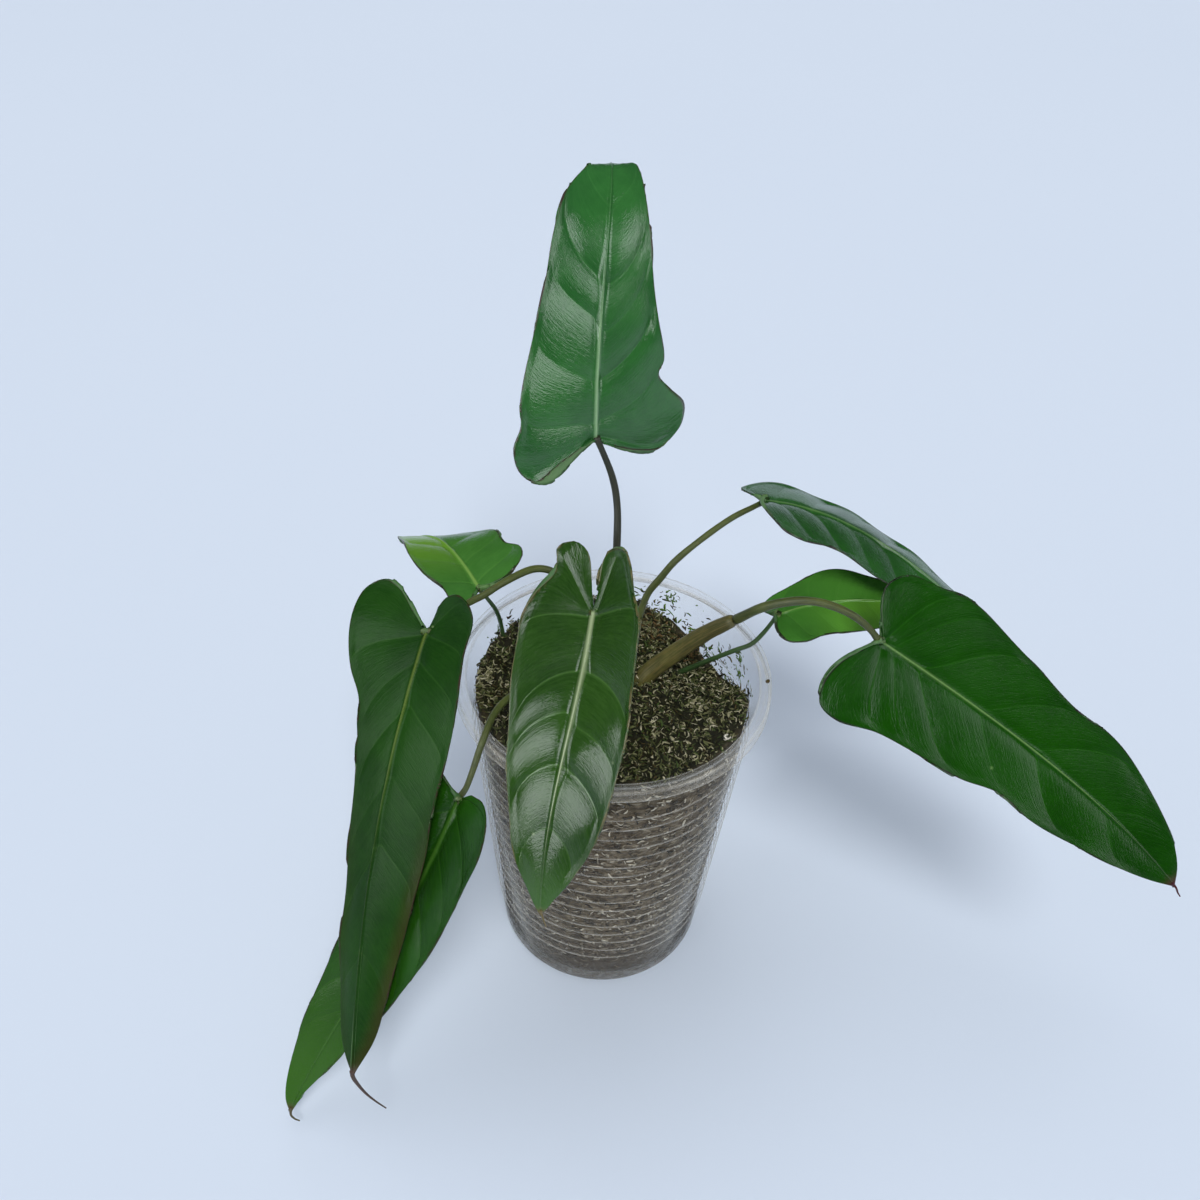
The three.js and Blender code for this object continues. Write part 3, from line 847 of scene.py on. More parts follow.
@dataclass(frozen=True)
class CompostFinish:
    """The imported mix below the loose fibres, streaked by bits that lie flat against the wall."""

    name: str = "packed mix"
    light: Colour = rgb(140, 128, 106)
    middle: Colour = rgb(94, 82, 64)
    dark: Colour = rgb(38, 32, 25)
    top: Colour = rgb(37, 36, 22)
    bottom_dark: Colour = rgb(50, 36, 25)
    bottom_dark_share: float = 0.8
    squash: float = 2.6
    clump_share: float = 0.55
    roughness: float = 0.9
    relief: Pair = (0.8, 0.8)

    def build(self, effects: Effects) -> bpy.types.Material:
        """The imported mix's finish.

        Args:
            effects: the shared node groups.

        Returns:
            The material.
        """
        material, tree, skin = new_material(self.name)
        place = tree.place()
        flat = tree.add("Mapping", {"Vector": place, "Scale": (1.0, 1.0, self.squash)}).outputs[0]
        clumps = tree.noise(flat, scale=210.0, detail=4.0, roughness=0.65)
        streaks = tree.noise(flat, scale=620.0, detail=3.0, roughness=0.6)
        both = tree.plus(tree.times(clumps, self.clump_share), tree.times(streaks, 1 - self.clump_share))
        colour = tree.coats(
            self.dark,
            (tree.span(both, 0.36, 0.5), self.middle),
            (tree.span(both, 0.5, 0.62), self.light),
            (tree.value("loose"), self.top),
            # Darker towards the cup's floor.
            (tree.times(tree.group(effects.bottom_dark, Vector=place), self.bottom_dark_share), self.bottom_dark),
        )
        tree.feed(skin, {"Base Color": colour, "Normal": tree.bump(both, *self.relief), "Roughness": self.roughness})
        return material


# Blades


@dataclass(frozen=True)
class Vein:
    """A side vein: where it leaves the midrib, at what angle, the share of the edge that it meets, its depth."""

    start: float
    angle: float
    share: float
    depth: float


@dataclass(frozen=True)
class Half:
    """Half a blade: its fold up from the midrib and its curl, each at the base and the tip, its lobe's lift,
    its outline as (across, along) from the tip round the lobe to the sinus, and its veins from the tip."""

    fold: Pair
    curl: Pair
    lift: float
    outline: tuple[Pair, ...]
    veins: tuple[tuple[float, float, float, float], ...] = ()


@dataclass
class Spine:
    """Places along a blade's midrib, each with its axes."""

    y: np.ndarray
    at: np.ndarray
    along: np.ndarray
    across: np.ndarray
    up: np.ndarray


def turned(vector: np.ndarray, axis: np.ndarray, angle: float) -> np.ndarray:
    """Turns a vector about an axis.

    Args:
        vector: the vector.
        axis: the unit vector that it turns about.
        angle: how far it turns, in degrees.

    Returns:
        The turned vector.
    """
    a = math.radians(angle)
    level = axis * float(axis @ vector) * (1 - math.cos(a))
    return vector * math.cos(a) + np.cross(axis, vector) * math.sin(a) + level


@dataclass
class Blade:
    """A leaf blade that hangs from its attachment, with the same fields as its solid."""

    name: str
    finish: LeafFinish
    slot: Slot
    attachment: Point
    heading: float
    dip: float
    roll: float
    length: float
    bend: tuple[float, ...]
    sweep: Pair
    twist: float
    width: float
    wave: Pair
    right: Half
    left: Half
    drip: tuple[Point, ...] = ()
    thread: Pair = (0.45, 0.18)
    young: tuple[float, float, float, float] = (0.6, 1.0, 0.0, 0.0)
    blush: Pair = (0.0, 0.0)
    rib_width: float = 0.8
    rib_pale: float = 1.0
    rib_end: Pair = (0.55, 0.98)
    puckers: float = 1.3
    tip_reach: float = 4.0

    STEP = 2.0
    OVERRUN = 6.0
    COLUMNS = 34
    COLUMN_CROWDING = 1.2
    ROW_GAP = 0.95
    LEAST_ROWS = 6
    ROW_CROWDING = 0.82
    THICKNESS = 0.5
    RIB_THICKNESS = 1.5
    WELD = 0.002
    FLAT_CURL = 1e-4
    TANGENT_STEPS = 4
    VEIN_START = 0.35
    VEIN_END = 0.4
    VALLEY_SHARE = 0.27
    VALLEY_REACH = (0.7, 5.5)
    VALLEY_ROUND = (0.15, 0.387)
    VALLEY_FADE = (0.75, 1.0)
    LINE_WIDTH = (0.34, 0.2)
    LINE_STRENGTH = (0.3, 0.9)
    LINE_FADE = (0.85, 1.0)
    RELIEF_START = (0.0, 0.06)
    RELIEF_FADE = (0.84, 1.0)
    RELIEF_EDGE = 2.0
    MEETING = 1.2
    RIB_TAPER = (1.15, 0.3, 1.0)
    RIB_START = (-1.0, 0.5)
    RIB_LOSS = 0.92
    GROOVE = (0.42, 2.2, 0.6)
    RIDGE = (0.3, 1.1)
    GROOVE_END = 6.0
    MARGIN = (0.1, 0.36)
    MARGIN_END = (0.8, 0.92)
    TIP_FULL = 0.4
    BLUSH_WIDTH = 5.0
    BLUSH_START = (0.3, 0.6)
    THICK_RIB = (1.3, 0.8)
    THREAD_ROOT = 1.5
    THREAD_TAPER = 0.7

    def spine(self, half: Half) -> Spine:
        """The midrib from behind a half's lobe to beyond the tip.

        Args:
            half: the half blade.

        Returns:
            The places along it.
        """
        heading, dip = math.radians(self.heading), math.radians(self.dip)
        level = math.cos(dip)
        along = np.array([level * math.cos(heading), level * math.sin(heading), -math.sin(dip)])
        across = turned(np.array([math.sin(heading), -math.cos(heading), 0.0]), along, self.roll)
        up = np.cross(across, along)
        start = np.array(self.attachment, float)
        rows = [(0.0, start, along, across, up)]
        reach = -min(y for _, y in half.outline)
        behind = []
        y, at, back, top = 0.0, start, along, up
        while y > -reach - self.STEP:
            turn = -half.lift / reach * self.STEP
            after = turned(back, across, turn)
            top = turned(top, across, turn)
            at = at - (back + after) / 2 * self.STEP
            back = after
            y -= self.STEP
            behind.insert(0, (y, at, back, across, top))
        y, at = 0.0, start
        while y < self.length + self.OVERRUN:
            t = min((y + self.STEP / 2) / self.length, 1.0)
            share = self.STEP / self.length
            under = -float(np.interp(t, np.linspace(0, 1, len(self.bend)), self.bend)) * share
            aside = -float(np.interp(t, (0, 1), self.sweep)) * share
            before = along
            along = turned(along, across, under)
            up = turned(up, across, under)
            along, across = turned(along, up, aside), turned(across, up, aside)
            across, up = (turned(axis, along, self.twist * share) for axis in (across, up))
            at = at + (before + along) / 2 * self.STEP
            y += self.STEP
            rows.append((y, at, along, across, up))
        return Spine(*(np.array(column) for column in zip(*behind, *rows)))

    def surface(self, half: Half, side: Side, u: np.ndarray, y: np.ndarray, share: np.ndarray) -> np.ndarray:
        """Points of the blade's middle surface.

        Args:
            half: the half blade.
            side: which half it is.
            u: how far each point is across from the midrib.
            y: how far it is along from the attachment.
            share: how far it is out towards the edge, from 0 to 1.

        Returns:
            The points in millimetres, in an array with one more axis than u.
        """
        spine = self.spine(half)

        def at(values: np.ndarray) -> np.ndarray:
            """The spine's values at y."""
            return np.stack([np.interp(y, spine.y, values[:, k]) for k in range(3)], axis=-1)

        across, up = at(spine.across), at(spine.up)
        across /= np.linalg.norm(across, axis=-1, keepdims=True)
        up /= np.linalg.norm(up, axis=-1, keepdims=True)
        to_tip = np.clip(y / self.length, 0, 1)
        fold = np.radians(half.fold[0] + (half.fold[1] - half.fold[0]) * to_tip)
        curl = np.radians(half.curl[0] + (half.curl[1] - half.curl[0]) * to_tip)
        curl = np.where(np.abs(curl) < self.FLAT_CURL, self.FLAT_CURL, curl)
        turn = fold + curl * u / self.width
        out = (np.sin(turn) - np.sin(fold)) * self.width / curl
        wave = self.wave[0] * share**2 * np.sin(2 * np.pi * y / self.wave[1] + side.value)
        rise = (np.cos(fold) - np.cos(turn)) * self.width / curl + wave
        return at(spine.at) + across * (side.value * out)[..., None] + up * rise[..., None]

    def columns(self) -> np.ndarray:
        """The share of the way out that each column of points has, closer near the midrib."""
        return np.linspace(0, 1, self.COLUMNS + 1) ** self.COLUMN_CROWDING

    @staticmethod
    def on_edge(edge: np.ndarray, share: float) -> np.ndarray:
        """A point on an outline.

        Args:
            edge: the outline, in even steps.
            share: how far along it the point is, from 0 to 1.

        Returns:
            The point.
        """
        k = share * (len(edge) - 1)
        low = min(int(k), len(edge) - 2)
        return edge[low] + (edge[low + 1] - edge[low]) * (k - low)

    def vein_curve(self, vein: Vein, edge: np.ndarray) -> np.ndarray:
        """A side vein as flat points from the midrib to the edge.

        Args:
            vein: the vein.
            edge: the half's outline, in even steps.

        Returns:
            A point for each column.
        """
        end = self.on_edge(edge, vein.share)
        low = int(vein.share * (len(edge) - 1))
        tangent = edge[max(low - self.TANGENT_STEPS, 0)] - edge[min(low + self.TANGENT_STEPS, len(edge) - 1)]
        tangent /= np.linalg.norm(tangent)
        start = np.array([0.0, vein.start])
        reach = np.linalg.norm(end - start)
        angle = math.radians(vein.angle)
        first = start + self.VEIN_START * reach * np.array([math.sin(angle), math.cos(angle)])
        second = end - self.VEIN_END * reach * tangent
        t = self.columns()[:, None]
        return (1 - t) ** 3 * start + 3 * t * (1 - t) ** 2 * first + 3 * t**2 * (1 - t) * second + t**3 * end

    def rows_per_gap(self) -> list[int]:
        """How many rows lie between each two neighbouring veins, the same on both halves.

        Returns:
            The numbers, from the tip to the sinus.
        """
        counts = []
        halves = (self.right, self.left)
        gaps = [[0.0, *[vein[2] for vein in half.veins], 1.0] for half in halves]
        lengths = [self.edge_length(half) for half in halves]
        for i in range(len(gaps[0]) - 1):
            widest = max((gap[i + 1] - gap[i]) * length for gap, length in zip(gaps, lengths))
            counts.append(max(self.LEAST_ROWS, round(widest / self.ROW_GAP)))
        return counts

    @staticmethod
    def edge_length(half: Half) -> float:
        """The length of a half's outline."""
        edge = smooth_path(half.outline, count=200)
        return float(np.linalg.norm(np.diff(edge, axis=0), axis=1).sum())

    def valley(self, depth: float, away: np.ndarray, gap: np.ndarray) -> tuple[np.ndarray, np.ndarray]:
        """What a vein does to a row of points beside it.

        Args:
            depth: the vein's depth.
            away: how far each point is from the vein.
            gap: how far the next vein is from it at each point.

        Returns:
            How deep each point lies, and how strongly the vein's line marks it.
        """
        out = self.columns()
        soft = np.sqrt(away**2 + self.VALLEY_ROUND[0]) - self.VALLEY_ROUND[1]
        reach = np.clip(gap * self.VALLEY_SHARE, *self.VALLEY_REACH)
        width = self.LINE_WIDTH[0] - self.LINE_WIDTH[1] * out
        strength = min(1.0, self.LINE_STRENGTH[0] + self.LINE_STRENGTH[1] * depth)
        deep = depth * np.exp(-soft / reach) * (1 - smoothstep(*self.VALLEY_FADE, out))
        return deep, strength * np.exp(-((away / width) ** 2))

    def flat_rows(self, half: Half) -> dict[str, np.ndarray]:
        """Rows of flat points that follow the veins of a half, from its tip to its sinus.

        Args:
            half: the half blade.

        Returns:
            flat, the points as rows of (across, along), with vein and relief for each point, and
            run, the distance from the tip that each row has along the blade.
        """
        steps = self.columns()
        edge = smooth_path(half.outline, count=400)
        veins = [Vein(*given) for given in half.veins]
        shares = [0.0, *[vein.share for vein in veins], 1.0]
        tip = np.repeat(edge[:1], len(steps), axis=0)
        lines = [tip, *[self.vein_curve(vein, edge) for vein in veins], steps[:, None] * edge[-1]]
        rows = {"flat": [], "vein": [], "relief": [], "run": []}
        done = 0.0
        for i, count in enumerate(self.rows_per_gap()):
            first, second = lines[i], lines[i + 1]
            gap = np.linalg.norm(second - first, axis=1)
            middle = gap[len(gap) // 2] + 1.0
            last = i == len(lines) - 2
            for k in range(count + last):
                t = k / count
                t -= self.ROW_CROWDING * math.sin(2 * math.pi * t) / (2 * math.pi)
                row = first + (second - first) * t
                end = self.on_edge(edge, shares[i] + (shares[i + 1] - shares[i]) * t)
                depth, mask = np.zeros(len(steps)), np.zeros(len(steps))
                for vein, away in ((i - 1, gap * t), (i, gap * (1 - t))):
                    if 0 <= vein < len(veins):
                        deep, line = self.valley(veins[vein].depth, away, gap)
                        depth += deep
                        mask = np.maximum(mask, line)
                rows["flat"].append(row + steps[:, None] ** 2 * (end - row[-1]))
                rows["vein"].append(mask * (1 - smoothstep(*self.LINE_FADE, steps)))
                rows["relief"].append(-depth * smoothstep(*self.RELIEF_START, steps))
                rows["run"].append(done + t * middle)
            done += middle
        return {name: np.array(values) for name, values in rows.items()}

    def half_arrays(
        self, half: Half, side: Side, rows: dict[str, np.ndarray], starts: np.ndarray, run: np.ndarray
    ) -> dict[str, np.ndarray]:
        """A half's points in space with their attributes.

        Args:
            half: the half blade.
            side: which half it is.
            rows: its flat rows.
            starts: where each row starts on the midrib, the same on both halves.
            run: each row's place on the way from the tip to the sinus, the same on both halves.

        Returns:
            Arrays with a row for each row of points, by the name of the attribute, and the points as at.
        """
        flat = rows["flat"]
        u, y = flat[..., 0], flat[..., 1].copy()
        y += np.exp(-((u / self.MEETING) ** 2)) * (starts - y[:, 0])[:, None]
        share = np.broadcast_to(self.columns(), u.shape)
        to_tip = np.clip(y / self.length, 0, 1)
        narrow = np.clip(self.RIB_TAPER[0] - to_tip, *self.RIB_TAPER[1:]) * self.rib_width
        groove = self.GROOVE[0] * np.exp(-((u / self.GROOVE[1]) ** 2)) * (1 - self.GROOVE[2] * to_tip)
        groove -= self.RIDGE[0] * np.exp(-((u / (self.RIDGE[1] * narrow)) ** 2))
        edge = smooth_path(half.outline, count=160)
        inward = np.min(np.linalg.norm(flat[:, :, None, :] - edge[None, None], axis=-1), axis=2)
        relief = self.puckers * rows["relief"] * np.clip(inward / self.RELIEF_EDGE, 0, 1)
        relief *= 1 - smoothstep(*self.RELIEF_FADE, to_tip)
        rib = np.exp(-((u / narrow) ** 4)) * self.rib_pale * smoothstep(*self.RIB_START, y)
        begin, full, *strengths = self.young
        own = 0 if side is Side.RIGHT else 1
        end = half.outline[0][1]
        return {
            "at": self.surface(half, side, u, y, share),
            "height": relief - groove * smoothstep(0, self.GROOVE_END, self.length - y),
            "vein": rows["vein"],
            "rib": rib * (1 - self.RIB_LOSS * smoothstep(*self.rib_end, to_tip)),
            "margin": (1 - smoothstep(*self.MARGIN, inward)) * (1 - smoothstep(*self.MARGIN_END, to_tip)),
            "tip": smoothstep(end - self.tip_reach, end - self.TIP_FULL, y),
            "young": strengths[own] * smoothstep(begin, full, to_tip),
            "blush": self.blush[own] * (1 - smoothstep(0.0, self.BLUSH_WIDTH, inward))
            * smoothstep(*self.BLUSH_START, to_tip),
            "share": share * side.value,
            "run": np.broadcast_to(run[:, None], u.shape),
            "thick": np.exp(-((u / (self.THICK_RIB[0] * narrow)) ** 2)) * (1 - self.THICK_RIB[1] * to_tip),
        }

    def build(self, effects: Effects) -> bpy.types.Object:
        """Builds the blade in place of its solid.

        Args:
            effects: the shared node groups.

        Returns:
            The piece.
        """
        halves = [(self.right, Side.RIGHT), (self.left, Side.LEFT)]
        rows = [self.flat_rows(half) for half, _ in halves]
        starts = np.mean([row["flat"][:, 0, 1] for row in rows], axis=0)
        run = np.mean([row["run"] for row in rows], axis=0)
        bm = bmesh.new()
        for (half, side), row in zip(halves, rows):
            self.add_half(bm, self.half_arrays(half, side, row, starts, run), side)
        bmesh.ops.remove_doubles(bm, verts=bm.verts, dist=self.WELD * MM)
        bmesh.ops.dissolve_degenerate(bm, edges=bm.edges, dist=self.WELD * MM)
        bm.normal_update()
        height = float_layer(bm, "height")
        raised = [(vert, vert.co + vert.normal * vert[height] * MM) for vert in bm.verts]
        for vert, place in raised:
            vert.co = place
        materials = [self.finish.build(effects), self.finish.build_underside(effects)]
        piece = linked("leaf_" + self.name, mesh_of(bm, "leaf_" + self.name), materials)
        self.thicken(piece)
        if self.drip:
            self.add_thread(piece)
        fit(piece, ["blade_" + self.name])
        return piece

    def add_half(self, bm: bmesh.types.BMesh, arrays: dict[str, np.ndarray], side: Side) -> None:
        """Adds a half as a grid shaped to its arrays, with its upper face out.

        Args:
            bm: the bmesh that takes it.
            arrays: its points as at, and its attributes by name.
            side: which half it is.
        """
        count, columns = arrays["at"].shape[:2]
        at = arrays["at"].reshape(-1, 3) * MM
        flat = {name: values.ravel() for name, values in arrays.items() if name != "at"}
        layers = {name: float_layer(bm, name) for name in flat}
        made = bmesh.ops.create_grid(bm, x_segments=columns - 1, y_segments=count - 1, size=0.5)["verts"]
        for i, vert in enumerate(made):
            vert.co = at[i]
            for name, layer in layers.items():
                vert[layer] = flat[name][i]
        if side is Side.RIGHT:
            own = set(made)
            faces = [face for face in bm.faces if face.verts[0] in own]
            bmesh.ops.reverse_faces(bm, faces=faces)

    def thicken(self, piece: bpy.types.Object) -> None:
        """Gives the blade its thickness, and its midrib a rib below.

        Args:
            piece: the blade as one skin.
        """
        group = piece.vertex_groups.new(name="thick")
        for i, item in enumerate(piece.data.attributes["thick"].data):
            group.add([i], item.value, "REPLACE")
        solid = piece.modifiers.new("thickness", "SOLIDIFY")
        solid.thickness = self.RIB_THICKNESS * MM
        solid.offset = -1
        solid.vertex_group = group.name
        solid.thickness_vertex_group = self.THICKNESS / self.RIB_THICKNESS
        solid.use_even_offset = False
        solid.material_offset = 1
        settle(piece)

    def add_thread(self, piece: bpy.types.Object) -> None:
        """Adds the thin curled thread at the tip.

        Args:
            piece: the blade.
        """
        near_tip = (0.0, self.right.outline[0][1] - self.THREAD_ROOT, 0.0)
        root = self.surface(self.right, Side.RIGHT, *(np.array([v]) for v in near_tip))[0]
        points = smooth_path([root, *self.drip], count=26)
        taper = np.linspace(0, 1, len(points)) ** self.THREAD_TAPER
        radii = self.thread[0] + (self.thread[1] - self.thread[0]) * taper
        bm = bmesh.new()
        bm.from_mesh(piece.data)
        add_tube(bm, points, radii, sides=10, marks={"tip": 1.0})
        bm.to_mesh(piece.data)
        bm.free()


def even_veins(count: int, length: float, angle: float, depth: float) -> tuple:
    """Veins spaced evenly up a half, for a leaf whose own don't show.

    Args:
        count: how many there are above the lobe, which has one more.
        length: the blade's length.
        angle: the lowest vein's angle.
        depth: how deep every second vein lies. The others and the lobe's are shallower.

    Returns:
        The veins from the tip, as the fields of Vein.
    """
    highest, crowding, turn, shallow = 0.78, 1.15, 22, 0.55
    first_share, last_share = 0.08, 0.74
    veins = []
    for k in range(count):
        t = (k + 1) / (count + 0.4)
        start = length * highest * (1 - t) ** crowding
        share = first_share + (last_share - first_share) * t
        veins.append((start, angle + turn * t * t, share, depth * (1.0 if k % 2 else shallow)))
    lobe = (0.0, 125.0, 0.88, depth * 0.5)
    return (*veins, lobe)


# Stalks


@dataclass
class Stalk:
    """A petiole along its solid's route, on into the underside of its blade."""

    name: str
    finish: StalkFinish
    radii: Pair
    route: tuple[Point, ...]
    seat: Pair
    into_blade: float = 0.55
    bump: float = 0.04
    bump_turns: Pair = (23.0, 9.0)
    flare: float = 0.12

    def build(self, effects: Effects, blade: Blade) -> bpy.types.Object:
        """Builds the petiole in place of its solid.

        Args:
            effects: the shared node groups.
            blade: the blade that it carries.

        Returns:
            The piece.
        """
        spine = blade.spine(blade.right)
        base = int(np.argmin(np.abs(spine.y)))
        end = np.array(blade.attachment, float)
        end = end - self.seat[0] * spine.along[base] - (self.seat[1] - self.into_blade) * spine.up[base]
        points = smooth_path([*self.route, end], count=90)
        t = np.linspace(0, 1, len(points))
        radii = self.radii[0] + (self.radii[1] - self.radii[0]) * t
        radii = radii * (1 + self.bump * np.sin(t * self.bump_turns[0] + 2) * np.sin(t * self.bump_turns[1]))
        radii = radii * (1 + self.flare * smoothstep(0.95, 1.0, t))
        bm = bmesh.new()
        add_tube(bm, points, radii, sides=20)
        name = "stalk_" + self.name
        return add_piece(name, mesh_of(bm, name), self.finish.build(effects), ["petiole_" + self.name])


@dataclass
class Sheath:
    """A dry leaf sheath: a tapered tube with fine ribs, a lengthwise crease and a narrowed mouth."""

    name: str
    finish: StalkFinish
    radii: Pair
    route: tuple[Point, ...]
    sides: int = 36
    flare: float = 0.1
    bump: float = 0.02
    bump_turns: float = 31.0
    mouth: float = 0.3
    crease: float = 0.22
    crease_at: float = 0.6
    crease_width: float = 0.22
    rib: float = 0.025
    ribs: int = 9
    rib_sway: Pair = (0.3, 0.2)

    def build(self, effects: Effects) -> bpy.types.Object:
        """Builds the sheath in place of its solid.

        Args:
            effects: the shared node groups.

        Returns:
            The piece.
        """
        points = smooth_path(self.route, count=60)
        t = np.linspace(0, 1, len(points))
        radii = self.radii[0] + (self.radii[1] - self.radii[0]) * t
        radii = radii * (1 + self.flare * np.sin(t * math.pi) + self.bump * np.sin(t * self.bump_turns))
        radii = radii * (1 - self.mouth * smoothstep(0.97, 1.0, t))
        bm = bmesh.new()
        made = add_tube(bm, points, radii, self.sides)
        turn_x, turn_y, run = (float_layer(bm, name) for name in ("turn_x", "turn_y", "run"))
        for i, vert in enumerate(made):
            centre = Vector(points[i // self.sides]) * MM
            angle = math.atan2(vert[turn_y], vert[turn_x])
            dent = self.crease * math.exp(-((angle - self.crease_at) / self.crease_width) ** 2)
            sway = self.rib_sway[0] * math.sin(vert[run] * self.rib_sway[1])
            vert.co = centre + (vert.co - centre) * (1 - dent + self.rib * math.cos(self.ribs * angle + sway))
        name = "sheath_of_" + self.name
        return add_piece(name, mesh_of(bm, name), self.finish.build(effects), ["sheath_" + self.name])


# The cup


@dataclass
class Cup:
    """The clear ringed cup, with its driving sizes as its solid has them."""

    height: float = 118.0
    rim_radius: float = 47.5
    lip_width: float = 3.8
    lip_drop: float = 4.0
    lip_wall: float = 0.9
    neck_radius: float = 43.0
    neck_height: float = 112.0
    base_radius: float = 34.7
    corner_radius: float = 5.0
    wall: float = 0.9
    floor: float = 1.2
    rings: int = 17
    first_ring: float = 20.0
    ring_pitch: float = 5.0
    ring_height: float = 0.6
    ring_width: float = 1.6
    turns: int = 180
    corner_steps: int = 8
    ring_steps: int = 4

    def outer(self, z: float) -> float:
        """The wall's outer radius at a height, without its rings."""
        share = (z - self.corner_radius) / (self.neck_height - self.corner_radius)
        return self.base_radius + (self.neck_radius - self.base_radius) * share

    def inner(self, z: float) -> float:
        """The wall's inner radius at a height."""
        return self.outer(z) - self.wall

    def profile(self) -> list[tuple[float, float, float]]:
        """The cup's section.

        Returns:
            Its points as (radius, height, whiteness), from the base's centre round the outside and back in. The
            whiteness is partly the plastic's own and partly painted highlight on the ring crests and the lip's edges.
        """
        corner = self.base_radius - self.corner_radius
        line = [(0.0, 0.0, 0.1), (corner * 0.5, 0.0, 0.1)]
        for turn in np.radians(np.linspace(0, 90, self.corner_steps + 1)):
            across, up = self.corner_radius * math.sin(turn), self.corner_radius * (1 - math.cos(turn))
            line.append((corner + across, up, 0.1))
        band = self.first_ring - 3
        line.append((self.outer(band), band, 0.0))
        for i in range(self.rings):
            z = self.first_ring + i * self.ring_pitch
            for k in range(-self.ring_steps, self.ring_steps + 1):
                off = k / self.ring_steps * self.ring_width / 2
                crest = math.cos(math.pi / 2 * k / self.ring_steps) ** 2
                # Each crest's whiteness is partly painted highlight.
                line.append((self.outer(z + off) + self.ring_height * crest, z + off, crest**4))
        rim, top, drop = self.rim_radius, self.height, self.height - self.lip_drop
        under = top - self.lip_wall
        lip_inner = rim - self.lip_width
        skirt = rim - self.lip_wall
        # The lip's whiteness values are partly painted highlights along its edges.
        return line + [
            (self.outer(self.neck_height), self.neck_height, 0.0),
            (lip_inner + 0.4, under, 0.1),
            (skirt - 0.3, under, 0.1),
            (skirt, under - 0.3, 0.1),
            (skirt, drop, 0.35),
            (rim - 0.2, drop, 0.7),
            (rim, drop + 0.3, 0.7),
            (rim - 0.1, drop + 0.9, 0.1),
            (rim - 0.15, top - 1.3, 0.05),
            (rim - 0.1, top - 0.6, 0.6),
            (rim - 0.45, top - 0.1, 0.7),
            (rim - 0.8, top, 0.35),
            (rim - 1.3, top - 0.12, 0.05),
            (rim - 1.9, top, 0.3),
            (rim - 2.5, top - 0.12, 0.05),
            (lip_inner + 0.8, top - 0.05, 0.1),
            (lip_inner + 0.3, top, 0.6),
            (lip_inner, top - 0.4, 0.6),
            (lip_inner - 0.1, top - 1.2, 0.05),
            (self.inner(self.neck_height), self.neck_height, 0.0),
            (self.inner(self.corner_radius + self.wall), self.corner_radius + self.wall, 0.0),
            (corner, self.floor, 0.0),
            (0.0, self.floor, 0.0),
        ]

    def build(self, effects: Effects, finish: ClearPlastic) -> bpy.types.Object:
        """Builds the cup in place of its solid.

        Args:
            effects: the shared node groups.
            finish: its plastic.

        Returns:
            The piece.
        """
        # The ring attribute carries the whiteness, partly painted highlight.
        bm = lathed(self.profile(), "ring", self.turns)
        bmesh.ops.dissolve_degenerate(bm, edges=bm.edges, dist=WELD * MM)
        bmesh.ops.recalc_face_normals(bm, faces=bm.faces)
        return add_piece("clear_cup", mesh_of(bm, "clear_cup"), finish.build(effects), ["cup"])


# The mix in the cup


@dataclass(frozen=True)
class Patch:
    """A round patch of the mix's top with its own bits: its centre, its radius, how far it stands up, its tints."""

    centre: Pair
    radius: float
    rise: float
    tints: tuple[int, ...]


@dataclass(frozen=True)
class Bits:
    """A few bent bits of moss that lie along X. Each range is the least and the greatest: lengths, half widths,
    and as shares of the length how far the middle lies aside and up, and of that how far the end lies aside."""

    lengths: Pair
    widths: Pair
    flat: float
    count: int = 24
    bends: Pair = (-0.42, 0.42)
    rises: Pair = (-0.08, 0.14)
    ends: Pair = (-0.4, 0.9)
    taper: tuple[float, ...] = (0.6, 1.05, 0.9, 0.35)

    def build(self, rng: np.random.Generator) -> list[bpy.types.Mesh]:
        """Makes the bits.

        Args:
            rng: the source of their differences.

        Returns:
            Their meshes.
        """
        made = []
        for i in range(self.count):
            length = rng.uniform(*self.lengths)
            bend = rng.uniform(*self.bends) * length
            rise = rng.uniform(*self.rises) * length
            end = bend * rng.uniform(*self.ends)
            knots = [
                (-length / 2, 0, 0), (-length / 6, bend * 0.6, rise * 0.6), (length / 5, bend, rise),
                (length / 2, end, 0),
            ]
            radii = rng.uniform(*self.widths) * np.array(self.taper)
            bm = bmesh.new()
            add_tube(bm, smooth_path(knots, len(radii)), radii, sides=3, squeeze=(self.flat, 1.0))
            made.append(mesh_of(bm, f"bit_{i}"))
        return made


